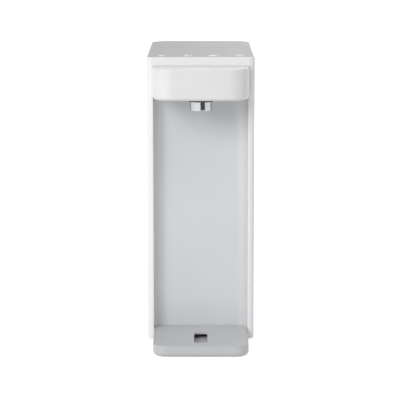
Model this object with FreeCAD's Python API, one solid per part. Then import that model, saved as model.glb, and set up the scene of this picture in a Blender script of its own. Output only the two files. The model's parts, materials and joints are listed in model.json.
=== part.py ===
import FreeCAD, Part
import math
import os

from FreeCAD import Vector

# Slim counter-top hot water dispenser, in millimetres.
# It is drawn with x to the right, y = 0 at the front face of the side panels with +y to the back,
# and z = 0 on the counter. Each finished node is then moved so that the origin lies under the
# middle of the whole footprint.

# Casing
BODY_WIDTH = 126.0
BODY_DEPTH = 262.0
BODY_HEIGHT = 336.0
WALL = 2.5  # casing wall
FRONT_FACE = 7.6  # width of each side panel seen from the front
STRIP_HEIGHT = 10.0  # white strip above the spout head
FRONT_CORNER_R = 6.0
INNER_CORNER_R = 1.5  # inside the casing's two front corners
REAR_CORNER_R = 25.0
SKIRT_LIFT = 2.0  # casing's lower edge above the counter
SKIRT_HEIGHT = 44.0  # top of the low casing that carries the tank
PANEL_DEPTH = 156.0  # from the front face back to the joint between panel and tank
JOINT_GAP = 0.4  # from that joint to the pieces on each side of it
FIT_GAP = 0.3  # between fixed pieces that lie side by side
SLIDE_GAP = 0.3  # between a piece that is pulled out and its bay
RUNNING_GAP = 0.05  # radial, for a pin or shaft in its hole
SCREW_SEAT_GAP = 0.1  # under a fixed piece that is pressed home by its screws
MERGE = 0.5  # how far two shapes of one piece reach into each other

# Top control panel
PANEL_THICKNESS = 2.5
PANEL_RIM = 1.0  # casing rim round the panel
PANEL_GAP = 0.15
PANEL_RIB = 1.7
PANEL_RIB_HEIGHT = 3.0
PANEL_RIB_SETBACK = 2.0  # from the bulkhead to the rib
KEY_COUNT = 4
KEY_MARGIN = 10.1  # from the touch board's edge to the middle of the outer keys
KEY_SETBACK = 20.0  # from the front face to the middle of the keys
KEY_R = 4.0
KEY_POCKET = 0.8
KEY_POCKET_GAP = 0.2

# Recess above the tray
RECESS_DEPTH = 17.0
RECESS_BOW = 1.0  # how far the back wall bows in over its width
LINER_WALL = 2.2
WINDOW_WIDTH = 48.0  # liner's window for the water outlet, and the pieces that pass through it
WINDOW_HEIGHT = 16.0
OPENING_EDGE_R = 0.8  # on the casing's edge round the cup bay

# Spout head
HEAD_REACH = 51.0
HEAD_HEIGHT = 36.0
HEAD_CORNER_R = 22.0
HEAD_EDGE_R = 5.0
HEAD_WALL = 2.2
HEAD_LIP = 7.0  # how far the head's lower edge turns in under the floor plate
HEAD_LIP_HEIGHT = 3.0
HEAD_FLOOR_LIFT = 0.6  # floor plate's lower face above the head's lower edge
HEAD_FLOOR_THICKNESS = 2.2  # of its flange, above the lip
HEAD_SCREW_X = 34.0
HEAD_SCREW_DROP = 5.4  # below the head's top
HEAD_SCREW_LENGTH = 14.0
HEAD_BOSS_SETBACK = 12.0  # from the head's front to its screw bosses

# Nozzle
NOZZLE_REACH = 26.0
NOZZLE_R = 12.5
NOZZLE_BORE_R = 9.8
NOZZLE_MOUTH_R = 9.0
NOZZLE_DROP = 13.0  # below the head
NOZZLE_LENGTH = 22.0
NOZZLE_EDGE_R = 1.2
NOZZLE_STEP = 3.0  # height of the narrower mouth
COLLAR_R = 14.5
COLLAR_DROP = 2.4
COLLAR_HEIGHT = 7.0  # above the head's lower edge
COLLAR_SHOULDER = 0.6  # how far the collar's sleeve is set in
NOZZLE_FLANGE_GAP = 0.2  # above the collar
INSERT_GAP = 0.1
INSERT_HEIGHT = 4.0
INSERT_HOLE_R = 1.6
INSERT_HOLE_RING_R = 5.6
INSERT_HOLE_COUNT = 6

# Outlet chamber in the head
CHAMBER_WALL = 2.0
CHAMBER_FRONT_ROOM = 4.0  # between the chamber and the head's front wall
CHAMBER_SETBACK = 6.0  # from the casing's flange to the chamber's back wall
CHAMBER_FRONT_R = 8.0
CHAMBER_REAR_R = 4.0
CHAMBER_LIFT = 10.5  # above the head's lower edge
CHAMBER_BOSS_GAP = 1.0
CHAMBER_PLUG = 2.0  # how deep the cover reaches into the chamber
PLUG_GAP = 0.1

# Drip tray
TRAY_REACH = 88.0
TRAY_HEIGHT = 13.8
TRAY_CORNER_R = 16.0
TRAY_EDGE_R = 4.5
TRAY_WALL = 2.4
TRAY_FLOOR_TOP = 6.8
TRAY_LIFT = 0.8  # tray's lower edge above the counter
TRAY_RIM = 1.4
TRAY_TOP_R = 0.8
COVER_THICKNESS = 2.2
COVER_REAR_R = 22.0  # the rim's rear corners in plan, which the cover and the basin follow
DRAIN_WIDTH = 15.4
DRAIN_FRONT = 71.0  # how far in front of the side panels the drain starts
DRAIN_LENGTH = 50.0
DRAIN_CORNER_R = 4.5

# Base plate and feet
BASE_THICKNESS = 2.5
FOOT_HEIGHT = 2.6
FOOT_R = 7.5
FOOT_CHAMFER = 1.0
TONGUE_MARGIN = 9.4  # from the recess's side to the base plate's tongue, which carries the tray
TONGUE_REACH = 78.0
TONGUE_CORNER_R = 10.0
FRONT_FOOT_INSET = (10.0, 16.0)  # from the tongue's side and its front end
REAR_FOOT_INSET = (19.0, 26.0)  # from the casing's side and its back
VENT_COUNT = 6
VENT_WIDTH = 3.0
VENT_LENGTH = 40.0
VENT_PITCH = 8.0
VENT_SETBACK = 122.0

# Water tank
TANK_WALL = 2.4
TANK_FLOOR = 2.5
TANK_STEP = 3.2  # how far the tank's foot is set in to sit inside the casing rim
DOCK_DROP = 1.5  # dock shelf below the casing rim
DOCK_THICKNESS = 3.0
DOCK_LEDGE = 3.0  # shelf's front edge in front of the bulkhead
DOCK_POST_R = 4.0
DOCK_POST_INSET = 17.0  # from the casing's side
DOCK_POST_FRONT = 10.0  # from the joint
DOCK_POST_REAR = 44.0  # from the casing's back
LID_HEIGHT = 10.0
LID_WALL = 2.2
LID_RIM_DROP = 4.0  # lid's inner rim below the tank's edge
LID_RIM_WALL = 1.6
LID_RIM_GAP = 0.4
TANK_FRONT_R = 3.0
TANK_INNER_R = 0.6  # least radius inside the tank's front corners
HINGE_R = 3.4
HINGE_PIN_R = 1.5
PIN_PRESS_GAP = 0.02
HINGE_SPAN = 65.0  # between the tank's two hinge ears
EAR_WIDTH = 4.0
EAR_CLEARANCE = 0.5  # ear's radius under the lid's barrel room
EAR_NECK = 8.0
BARREL_CLEARANCE = 0.4
NOTCH_CLEARANCE = 0.1

# Bulkhead between the machinery and the tank
BULKHEAD_RIB_PITCH = 20.0
BULKHEAD_RIB_WIDTH = 1.6
BULKHEAD_RIB_DEPTH = 4.0
BULKHEAD_RIB_DROP = 12.0  # below the control panel
SWITCH_WIDTH = 6.0
SWITCH_DEPTH = 5.0
SWITCH_LIFT = 2.0  # above the tank's floor
SWITCH_HEIGHT = 18.0
SWITCH_GAP = 0.2
SWITCH_WALL = 1.0  # between the switch and the bulkhead
HOLDER_WALL = 2.0
RAIL_WIDTH = 2.0  # upright rails inside the casing, in front of the bulkhead
RAIL_DEPTH = 1.5
RAIL_LIFT = 4.0

# Tank valve
VALVE_SETBACK = 36.0  # from the joint to the valve's axis
VALVE_R = 8.9
VALVE_BORE_R = 6.8
VALVE_SEAT_R = 4.4
VALVE_DROP = 11.3  # below the tank's foot
VALVE_CHAMFER = 1.0
VALVE_FLANGE_R = 13.0
VALVE_FLANGE = 2.4
VALVE_SEAT_HEIGHT = 3.5
SEAL_HEIGHT = 1.0
SEAL_GAP = 0.1
SEAL_INSET = 0.4  # seal's edge inside the flange's edge
GUIDE_HEIGHT = 2.5
GUIDE_GAP = 0.1
GUIDE_ARM = 1.6
GUIDE_ARM_COUNT = 3
GUIDE_HUB_R = 4.4
POPPET_R = 6.2
POPPET_THICKNESS = 2.8
POPPET_CHAMFER = 0.6
POPPET_STEM = 2.6  # below the poppet
POPPET_GUIDE_STEM = 4.0  # above the spider's lower face
FILTER_R = 12.4
FILTER_WALL = 1.2
FILTER_HEIGHT = 9.0
FILTER_SLOT_WIDTH = 3.0
FILTER_SLOT_MARGIN = (1.5, 2.5)  # below and above the slots
FILTER_SLOT_COUNT = 5  # each slot runs right across
STEM_R = 1.5
POPPET_TRAVEL = 3.0
SPRING_WIRE_R = 0.4
SPRING_COIL_R = 3.6
SPRING_TURNS = 3.5
SPRING_END_GAP = 0.3

# Water port in the dock
PORT_WALL = 1.6
PORT_RIM_R = 12.5
PORT_FLANGE_R = 15.5
PORT_FLANGE = 2.5
PORT_GAP = 0.2
PORT_ROOM = 0.7  # round the tank's valve
PORT_DROP = 1.5  # cup's floor below the tank's valve
DOCK_SEAL_HEIGHT = 3.0
SUMP_R = 6.0
SUMP_WALL = 2.5
SUMP_FLOOR = 2.0
SUMP_ROOM = 0.5  # below the spigot
PORT_SPIGOT_REACH = 22.0

# Level float
FLOAT_PLACE = (-34.0, 20.0)  # across, and back from the joint
FLOAT_R = 9.0
FLOAT_HEIGHT = 12.0
FLOAT_ROD_R = 2.0
FLOAT_TRAVEL = 13.0
FLOAT_EDGE_R = 1.0
FLOAT_BASE = 1.2
FLOAT_BASE_INSET = 1.0
FLOAT_STOP = 2.0
FLOAT_STOP_OVERHANG = 1.6

# Hoses and their spigots
HOSE_R = 4.2
HOSE_BORE_R = 3.0
SPIGOT_R = 2.9
SPIGOT_BORE_R = 2.0
HOSE_GRIP = 7.0  # how far a hose is pushed over its spigot
SPIGOT_LENGTH = 10.0
HOT_BEND_R = 26.0
FEED_BEND_R = 8.5
FEED_DROP = 9.0  # the feed hose's level run below the heater's spigot

# Heater
HEATER_R = 21.0
HEATER_WALL = 1.2
HEATER_LENGTH = 120.0
HEATER_FOOT = 90.0
HEATER_SETBACK = 76.0
ELEMENT_R = 6.0
FIN_THICKNESS = 1.2
FIN_HEIGHT = 8.0
FIN_COUNT = 3
CAP_HEIGHT = 8.0
CAP_RIM = 1.0
CAP_PLUG = 4.0
CAP_GAP = 0.1
CAP_ROOM = 3.0  # round the heating rod
CLAMP_WALL = 2.0
CLAMP_HEIGHT = 10.0
CLAMP_INSET = 14.0  # from each end of the tube
CLAMP_FOOT_WIDTH = 18.0
CUTOUT_HEIGHTS = (42.0, 70.0)  # above the tube's lower end
CUTOUT_R = 7.0
CUTOUT_DEPTH = 6.5
SADDLE_SIZE = 16.0
SADDLE_WALL = 2.0
SENSOR_R = 2.0
SENSOR_X = 12.0
SENSOR_HEAD = 3.0
SENSOR_LENGTH = 10.0

# Pump
PUMP_AXIS_Z = 22.0
PUMP_R = 15.0
PUMP_CAVITY_R = 12.0
PUMP_FRONT = 104.0
PUMP_LENGTH = 14.0
PUMP_WALL = 2.5
MOTOR_R = 12.5
MOTOR_LENGTH = 34.0
IMPELLER_R = 11.2
SHAFT_R = 1.2
VANE_COUNT = 6
VANE_WIDTH = 1.2
VANE_BEND = 0.75  # vane's bend as a share of the impeller's radius
IMPELLER_DISC = 1.5
IMPELLER_HUB_R = 3.0
IMPELLER_HUB = 4.5
IMPELLER_ROOM = 0.8
PUMP_COVER_WALL = 2.5
PUMP_COVER_PLUG = 2.0
SHAFT_REACH = 14.0  # into the motor
MOTOR_END_R = 4.0
MOTOR_END = 3.0
PUMP_OUTLET_X = 8.5
PUMP_OUTLET_TOP = 49.0
MOUNT_WIDTH = 28.0
MOUNT_DEPTH = 22.0
MOUNT_SETBACK = 5.0  # from the motor's front
MOUNT_DROP = 3.0  # saddle's top below the motor's axis

# Inner frame and circuit boards
FRAME_WIDTH = 100.0
FRAME_SETBACK = 44.0
FRAME_WALL = 2.4
FRAME_DROP = 21.0  # frame's top below the water outlet's level
FRAME_FOOT_DEPTH = 56.0
FRAME_SCREW_X = 42.0
FRAME_SCREW_SETBACKS = (10.0, 46.0)
FRAME_POST = 9.0
GUSSET_HEIGHT = 124.0
GUSSET_TOP = 6.0
FRAME_WINDOW = (28.0, 60.0)
FRAME_WINDOW_X = 22.0
FRAME_WINDOW_MARGIN = 10.0  # below the frame's top
FRAME_WINDOW_PITCH = 80.0
BOARD_THICKNESS = 1.6
BOARD_WIDTH = 88.0
BOARD_HEIGHT = 140.0
BOARD_FOOT = 110.0
BOARD_STANDOFF = 6.4
BOARD_POST_INSET = (5.0, 6.0)
TOUCH_BOARD_DEPTH = 34.0
TOUCH_BOARD_SETBACK = 6.0
TOUCH_BOARD_MARGIN = 4.5  # from the casing's inner face to the board's edge
TOUCH_BOARD_DROP = 4.3  # below the control panel
TOUCH_SCREW_INSET = 4.5
TOUCH_SCREW_SETBACKS = (10.0, 34.0)
TOUCH_CHIP = (12.0, 10.0, 1.5)  # width, depth and height
TOUCH_CHIP_INSET = 4.0
BOARD_ROOM = 2.0  # between the tallest parts and the liner
TRANSFORMER = (-21.0, 18.0, 26.0, 28.0)  # middle across, height on the board, width and height of each part
RELAY = (15.0, 20.0, 18.0, 18.0)
SECOND_RELAY = (15.0, 44.0, 18.0, 18.0)
HEAT_SINK = (-31.0, 70.0, 10.0, 48.0)
CAPACITORS = ((2.0, 84.0), (18.0, 84.0), (10.0, 104.0))
CAPACITOR_R = 5.0
RIBBON_WIDTH = 12.0
RIBBON_THICKNESS = 0.8
RIBBON_X = -30.0  # the ribbon's left edge
RIBBON_GAP = 0.1
RIBBON_OVERLAP = 14.0  # how far it reaches down behind the power board
RIBBON_INSET = 5.0  # from the touch board's back edge
RIBBON_BENDS = (18.0, 10.0)  # below the touch board

# Screws
SCREW_R = 1.5
SCREW_HEAD_R = 2.8
SCREW_HEAD = 1.8
SCREW_HOLE_GAP = 0.2
BOSS_R = 3.5
BASE_SCREW_LENGTH = 8.0
BOARD_SCREW_LENGTH = 7.0
TOUCH_SCREW_LENGTH = 5.0

# Cord gland
GLAND_X = -28.0
GLAND_Z = 18.0
GLAND_R = 6.0
GLAND_FLANGE_R = 8.0
GLAND_DEPTH = 6.0  # inside the casing's wall
GLAND_BORE_R = 3.6

# Worked out from the sizes above
HALF_WIDTH = BODY_WIDTH / 2
HALF_RECESS = HALF_WIDTH - FRONT_FACE
HALF_HEAD = HALF_RECESS - JOINT_GAP
HALF_TONGUE = HALF_RECESS - TONGUE_MARGIN
HALF_TOUCH_BOARD = HALF_WIDTH - WALL - TOUCH_BOARD_MARGIN
MIDDLE_DEPTH = (BODY_DEPTH - TRAY_REACH) / 2
RECESS_CORNER_R = RECESS_DEPTH - RECESS_BOW - WALL
HEAD_TOP = BODY_HEIGHT - STRIP_HEIGHT
HEAD_FOOT = HEAD_TOP - HEAD_HEIGHT
PANEL_UNDERSIDE = BODY_HEIGHT - PANEL_THICKNESS
BASE_TOP = FOOT_HEIGHT + BASE_THICKNESS
LINER_BACK = RECESS_DEPTH + LINER_WALL
BACK_EDGE = PANEL_DEPTH - JOINT_GAP
TANK_FRONT = PANEL_DEPTH + JOINT_GAP
TANK_BACK = BODY_DEPTH - JOINT_GAP
TANK_HALF = HALF_WIDTH - JOINT_GAP
TANK_REAR_R = REAR_CORNER_R - JOINT_GAP
DOCK_TOP = SKIRT_HEIGHT - DOCK_DROP
TANK_FOOT = DOCK_TOP + SLIDE_GAP
TANK_FLOOR_TOP = SKIRT_HEIGHT + JOINT_GAP + TANK_FLOOR
LID_FOOT = BODY_HEIGHT - LID_HEIGHT
TANK_TOP = LID_FOOT - SLIDE_GAP
HINGE_Y = TANK_BACK - HINGE_R
HINGE_Z = LID_FOOT + HINGE_R
VALVE_Y = PANEL_DEPTH + VALVE_SETBACK
FLOAT_Y = PANEL_DEPTH + FLOAT_PLACE[1]
FLANGE_FOOT = TANK_FLOOR_TOP + SEAL_HEIGHT
FLANGE_TOP = FLANGE_FOOT + VALVE_FLANGE
SEAT_TOP = TANK_FOOT - VALVE_DROP + VALVE_SEAT_HEIGHT
POPPET_FOOT = SEAT_TOP + POPPET_TRAVEL + SEAL_GAP
POPPET_TOP = POPPET_FOOT + POPPET_THICKNESS
GUIDE_FOOT = FLANGE_TOP + GUIDE_GAP
STEM_FOOT = POPPET_FOOT - POPPET_STEM
BOARD_FACE = FRAME_SETBACK - BOARD_STANDOFF
TOUCH_BOARD_TOP = PANEL_UNDERSIDE - TOUCH_BOARD_DROP
HEATER_TOP = HEATER_FOOT + HEATER_LENGTH
CHAMBER_FOOT = HEAD_FOOT + CHAMBER_LIFT
CHAMBER_TOP = HEAD_TOP - HEAD_WALL - CHAMBER_WALL
SPOUT_INLET_Z = (CHAMBER_FOOT + CHAMBER_TOP) / 2
FRAME_TOP = SPOUT_INLET_Z - FRAME_DROP
HEAD_LIP_TOP = HEAD_FOOT + HEAD_LIP_HEIGHT
HEAD_FLOOR = HEAD_FOOT + HEAD_FLOOR_LIFT
HEAD_SCREW_Z = HEAD_TOP - HEAD_SCREW_DROP
NOZZLE_FOOT = HEAD_FOOT - NOZZLE_DROP
INSERT_FOOT = NOZZLE_FOOT + NOZZLE_STEP + INSERT_GAP
FAR = 2 * BODY_HEIGHT  # longer than any piece, for cuts that run right through


def block(x0, x1, y0, y1, z0, z1):
    return Part.makeBox(x1 - x0, y1 - y0, z1 - z0, Vector(x0, y0, z0))


def centred(width, y0, y1, z0, z1):
    return block(-width / 2, width / 2, y0, y1, z0, z1)


def rod(radius, start, end):
    along = Vector(*end) - Vector(*start)
    return Part.makeCylinder(radius, along.Length, Vector(*start), along)


def upright(radius, x, y, z0, z1):
    return rod(radius, (x, y, z0), (x, y, z1))


def ring(outer, inner, x, y, z0, z1):
    return upright(outer, x, y, z0, z1).cut(upright(inner, x, y, z0 - 1, z1 + 1))


def extruded(face, z0, z1):
    solid = face.extrude(Vector(0, 0, z1 - z0))
    solid.translate(Vector(0, 0, z0))
    return solid


def joined(shapes):
    shapes = list(shapes)
    whole = shapes[0].multiFuse(shapes[1:]) if len(shapes) > 1 else shapes[0]
    return whole.removeSplitter()


def both_sides(shape):
    return [shape, shape.mirror(Vector(0, 0, 0), Vector(1, 0, 0))]


def arc(start, middle, end):
    return Part.Arc(Vector(*start), Vector(*middle), Vector(*end)).toShape()


def line(start, end):
    return Part.LineSegment(Vector(*start), Vector(*end)).toShape()


def rounded_plan(half, front, back, front_r, back_r):
    """Face in plan: a rectangle symmetrical about x = 0, its two front and two back corners rounded alike."""
    mid = 1 - math.sqrt(0.5)
    stops = []
    for side in (1, -1):
        for y, r, inward in ((front, front_r, 1), (back, back_r, -1))[::side]:
            across = (side * (half - r), y, 0)
            along = (side * half, y + inward * r, 0)
            middle = (side * (half - r * mid), y + inward * r * mid, 0)
            ends = (across, along) if inward == side else (along, across)
            stops.append((ends[0], middle, ends[1], r))
    edges = []
    for (start, middle, end, r), following in zip(stops, stops[1:] + stops[:1]):
        if r > 0:
            edges.append(arc(start, middle, end))
        edges.append(line(end, following[0]))
    return Part.Face(Part.Wire(edges))


def recess_plan(offset):
    """Face in plan of the concave recess, grown by offset, from the casing's front flange to its back wall."""
    half = HALF_RECESS + offset
    r = RECESS_CORNER_R + offset
    mid = r * math.sqrt(0.5)
    deep = WALL + r
    edges = [
        arc((half, WALL, 0), (half - r + mid, WALL + mid, 0), (half - r, deep, 0)),
        arc((half - r, deep, 0), (0, deep + RECESS_BOW, 0), (r - half, deep, 0)),
        arc((r - half, deep, 0), (r - half - mid, WALL + mid, 0), (-half, WALL, 0)),
        line((-half, WALL, 0), (half, WALL, 0)),
    ]
    return Part.Face(Part.Wire(edges))


def turned(points, x, y):
    """Solid of revolution about the upright axis at x, y. Points are (radius, z) round the section."""
    corners = [Vector(x + r, y, z) for r, z in points]
    face = Part.Face(Part.makePolygon(corners + corners[:1]))
    return face.revolve(Vector(x, y, 0), Vector(0, 0, 1), 360)


def turned_along_y(points, x, z):
    """Solid of revolution about the axis along y at x, z. Points are (radius, y) round the section."""
    corners = [Vector(x + r, y, z) for r, y in points]
    face = Part.Face(Part.makePolygon(corners + corners[:1]))
    return face.revolve(Vector(x, 0, z), Vector(0, 1, 0), 360)


def softened(shape, radius, chosen):
    """Shape with the edges that chosen picks rounded."""
    return shape.makeFillet(radius, [e for e in shape.Edges if chosen(e.BoundBox)])


def screw(place, direction, length):
    """Pan head screw: its head's flat face lies at place and its shank runs along direction."""
    at = Vector(*place)
    along = Vector(*direction)
    shank = Part.makeCylinder(SCREW_R, length, at, along)
    head = Part.makeCylinder(SCREW_HEAD_R, SCREW_HEAD, at, along * -1)
    return joined([shank, head])


def hose(points, bend_r):
    """Hose along straight runs joined by tangent arcs of bend_r, with its bore."""
    stops = [Vector(*p) for p in points]
    edges = []
    here = stops[0]
    for before, corner, after in zip(stops, stops[1:], stops[2:]):
        into = (corner - before).normalize()
        out = (after - corner).normalize()
        turn = into.getAngle(out)
        back = bend_r * math.tan(turn / 2)
        start = corner - into * back
        end = corner + out * back
        inward = (out - into).normalize()
        centre = corner + inward * (bend_r / math.cos(turn / 2))
        middle = centre - inward * bend_r
        edges.append(Part.LineSegment(here, start).toShape())
        edges.append(Part.Arc(start, middle, end).toShape())
        here = end
    edges.append(Part.LineSegment(here, stops[-1]).toShape())
    path = Part.Wire(edges)
    direction = stops[1] - stops[0]
    tubes = []
    for radius in (HOSE_R, HOSE_BORE_R):
        section = Part.Wire(Part.makeCircle(radius, stops[0], direction))
        tubes.append(path.makePipeShell([section], True, False))
    return tubes[0].cut(tubes[1])


def outer_shell():
    """White casing: side panels, front frame with its top strip, and the low skirt under the tank."""
    column = extruded(rounded_plan(HALF_WIDTH, 0, BACK_EDGE, FRONT_CORNER_R, 0), SKIRT_LIFT, BODY_HEIGHT)
    low_plan = rounded_plan(HALF_WIDTH, 0, BODY_DEPTH, FRONT_CORNER_R, REAR_CORNER_R)
    skirt = extruded(low_plan, SKIRT_LIFT, SKIRT_HEIGHT)
    hollow = rounded_plan(HALF_WIDTH - WALL, WALL, BODY_DEPTH - WALL, INNER_CORNER_R, REAR_CORNER_R - WALL)
    shell = joined([column, skirt]).cut(extruded(hollow, 0, FAR))
    shell = shell.cut(centred(2 * HALF_RECESS, -1, WALL + 1, 0, HEAD_TOP))
    rebate = rounded_plan(HALF_WIDTH - PANEL_RIM, PANEL_RIM, BODY_DEPTH, FRONT_CORNER_R - PANEL_RIM, 0)
    shell = shell.cut(extruded(rebate, PANEL_UNDERSIDE, FAR))
    inside_back = (GLAND_X, BODY_DEPTH - 2 * WALL, GLAND_Z)
    outside_back = (GLAND_X, BODY_DEPTH + WALL, GLAND_Z)
    shell = shell.cut(rod(GLAND_R + FIT_GAP, inside_back, outside_back))
    inner_face = HALF_WIDTH - WALL
    rail_back = BACK_EDGE - WALL - FIT_GAP
    rail_front = rail_back - RAIL_DEPTH
    rail_foot = SKIRT_HEIGHT + RAIL_LIFT
    rail = block(inner_face - RAIL_WIDTH, inner_face + MERGE, rail_front, rail_back, rail_foot, HEAD_TOP)
    shell = joined([shell] + both_sides(rail))

    def opening_edge(b):
        upright_edge = abs(abs(b.XMin) - HALF_RECESS) < 0.01 and abs(b.XMax - b.XMin) < 0.01
        under_strip = abs(b.ZMin - HEAD_TOP) < 0.01 and abs(b.ZMax - HEAD_TOP) < 0.01
        return b.YMax < 0.01 and b.YMin > -0.01 and (upright_edge or under_strip)

    return softened(shell, OPENING_EDGE_R, opening_edge)


def recess_panel():
    """Concave liner behind the cup, with a wing at each side that seats behind the casing's front flange."""
    liner_foot = BASE_TOP + FIT_GAP
    liner_top = TOUCH_BOARD_TOP - BOARD_THICKNESS - SCREW_HEAD - FIT_GAP
    liner = extruded(recess_plan(LINER_WALL), liner_foot, liner_top)
    liner = liner.cut(extruded(recess_plan(0), 0, FAR))
    wing_end = HALF_WIDTH - WALL - INNER_CORNER_R
    wing = block(HALF_RECESS + LINER_WALL - MERGE, wing_end, WALL, WALL + LINER_WALL, liner_foot, liner_top)
    liner = joined([liner] + both_sides(wing))
    half_window = WINDOW_HEIGHT / 2
    window = centred(WINDOW_WIDTH, WALL, FAR, SPOUT_INLET_Z - half_window, SPOUT_INLET_Z + half_window)
    holes = []
    for x in (-HEAD_SCREW_X, HEAD_SCREW_X):
        holes.append(rod(SCREW_R + SCREW_HOLE_GAP, (x, 0, HEAD_SCREW_Z), (x, FAR, HEAD_SCREW_Z)))
    return liner.cut(window).cut(holes)


def head_seat_y():
    """Back end of the head's screw bosses, just clear of the liner's bowed face."""
    across = HEAD_SCREW_X / (HALF_RECESS - RECESS_CORNER_R)
    return WALL + RECESS_CORNER_R + RECESS_BOW * (1 - across * across) - FIT_GAP


def head_plan(inset, back):
    """Spout head in plan, set in by inset on three sides."""
    return rounded_plan(HALF_HEAD - inset, inset - HEAD_REACH, back, HEAD_CORNER_R - inset, 0)


def head_shell():
    """Spout head: a hollow D in plan with a rounded lower edge that turns in as a lip."""
    solid = extruded(head_plan(0, WALL), HEAD_FOOT, HEAD_TOP)

    def lower_edge(b):
        return b.ZMax < HEAD_FOOT + 0.01 and b.YMin < WALL - 0.01

    solid = softened(solid, HEAD_EDGE_R, lower_edge)
    solid = solid.cut(extruded(head_plan(HEAD_WALL, 2 * WALL), HEAD_LIP_TOP, HEAD_TOP - HEAD_WALL))
    solid = solid.cut(extruded(head_plan(HEAD_LIP, 2 * WALL), 0, HEAD_LIP_TOP + MERGE))
    seat = head_seat_y()
    for x in (-HEAD_SCREW_X, HEAD_SCREW_X):
        boss = rod(BOSS_R, (x, HEAD_BOSS_SETBACK - HEAD_REACH, HEAD_SCREW_Z), (x, seat, HEAD_SCREW_Z))
        pilot = rod(SCREW_R + RUNNING_GAP, (x, seat - HEAD_SCREW_LENGTH, HEAD_SCREW_Z), (x, FAR, HEAD_SCREW_Z))
        solid = joined([solid, boss]).cut(pilot)
    return solid


def head_underside():
    """Floor plate of the head. It rests on the head's lip, and its back edge follows the recess."""
    top = HEAD_LIP_TOP + HEAD_FLOOR_THICKNESS
    middle = extruded(head_plan(HEAD_LIP + FIT_GAP, WALL), HEAD_FLOOR, top)
    flange = extruded(head_plan(HEAD_WALL + FIT_GAP, WALL), HEAD_LIP_TOP, top)
    rear = extruded(recess_plan(-FIT_GAP), HEAD_FLOOR, top)
    return joined([middle, flange, rear]).cut(upright(COLLAR_R - COLLAR_SHOULDER, 0, -NOZZLE_REACH, 0, FAR))


def nozzle_collar():
    """Dark ring that trims the hole round the nozzle."""
    sleeve_r = COLLAR_R - COLLAR_SHOULDER - RUNNING_GAP
    bore = NOZZLE_R + RUNNING_GAP
    foot = HEAD_FOOT - COLLAR_DROP
    top = HEAD_FOOT + COLLAR_HEIGHT
    section = [
        (bore, foot),
        (COLLAR_R, foot),
        (COLLAR_R, HEAD_FLOOR),
        (sleeve_r, HEAD_FLOOR),
        (sleeve_r, top),
        (bore, top),
    ]
    return turned(section, 0, -NOZZLE_REACH)


def nozzle():
    """Chrome outlet tube with a rounded mouth and a flange that hangs it on the collar."""
    foot = NOZZLE_FOOT
    top = foot + NOZZLE_LENGTH
    flange_foot = HEAD_FOOT + COLLAR_HEIGHT + NOZZLE_FLANGE_GAP
    section = [
        (NOZZLE_MOUTH_R, foot),
        (NOZZLE_R, foot),
        (NOZZLE_R, flange_foot),
        (COLLAR_R, flange_foot),
        (COLLAR_R, top),
        (NOZZLE_BORE_R, top),
        (NOZZLE_BORE_R, foot + NOZZLE_STEP),
        (NOZZLE_MOUTH_R, foot + NOZZLE_STEP),
    ]
    tube = turned(section, 0, -NOZZLE_REACH)
    return softened(tube, NOZZLE_EDGE_R, lambda b: b.ZMax < foot + 0.01 and b.XMax > NOZZLE_R - 0.1)


def nozzle_insert():
    """Flow straightener: a disc with one hole in the middle and a ring of holes round it."""
    disc = upright(NOZZLE_BORE_R - INSERT_GAP, 0, -NOZZLE_REACH, INSERT_FOOT, INSERT_FOOT + INSERT_HEIGHT)
    holes = [upright(INSERT_HOLE_R, 0, -NOZZLE_REACH, 0, FAR)]
    for number in range(INSERT_HOLE_COUNT):
        angle = 2 * math.pi * number / INSERT_HOLE_COUNT
        x = INSERT_HOLE_RING_R * math.cos(angle)
        y = INSERT_HOLE_RING_R * math.sin(angle) - NOZZLE_REACH
        holes.append(upright(INSERT_HOLE_R, x, y, 0, FAR))
    return disc.cut(holes)


def outlet_chamber():
    """Small chamber above the nozzle that lets steam part from the water."""
    spout_r = NOZZLE_BORE_R - FIT_GAP
    floor_top = CHAMBER_FOOT + CHAMBER_WALL
    spout_foot = INSERT_FOOT + INSERT_HEIGHT + FIT_GAP
    body = extruded(chamber_plan(0), CHAMBER_FOOT, CHAMBER_TOP)
    spout = upright(spout_r, 0, -NOZZLE_REACH, spout_foot, CHAMBER_FOOT + MERGE)
    inlet = rod(SPIGOT_R, (0, CHAMBER_SETBACK, SPOUT_INLET_Z), (0, LINER_BACK + HOSE_GRIP, SPOUT_INLET_Z))
    body = joined([body, spout, inlet])
    body = body.cut(extruded(chamber_plan(CHAMBER_WALL), floor_top, FAR))
    body = body.cut(upright(spout_r - CHAMBER_WALL, 0, -NOZZLE_REACH, 0, floor_top + MERGE))
    return body.cut(rod(SPIGOT_BORE_R, (0, -NOZZLE_REACH, SPOUT_INLET_Z), (0, FAR, SPOUT_INLET_Z)))


def chamber_plan(inset):
    """Outlet chamber in plan, between the head's two screw bosses."""
    half = HEAD_SCREW_X - BOSS_R - CHAMBER_BOSS_GAP - inset
    front = HEAD_WALL + CHAMBER_FRONT_ROOM - HEAD_REACH + inset
    back = WALL + CHAMBER_SETBACK - inset
    return rounded_plan(half, front, back, CHAMBER_FRONT_R - inset, CHAMBER_REAR_R - inset)


def chamber_cover():
    """Lid of the outlet chamber, with a plug that reaches into it."""
    top = HEAD_TOP - HEAD_WALL - FIT_GAP
    plug = extruded(chamber_plan(CHAMBER_WALL + PLUG_GAP), CHAMBER_TOP - CHAMBER_PLUG, CHAMBER_TOP + MERGE)
    return joined([extruded(chamber_plan(0), CHAMBER_TOP, top), plug])


def head_screws():
    places = [(x, LINER_BACK + SCREW_SEAT_GAP, HEAD_SCREW_Z) for x in (-HEAD_SCREW_X, HEAD_SCREW_X)]
    return Part.makeCompound([screw(place, (0, -1, 0), HEAD_SCREW_LENGTH) for place in places])


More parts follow.
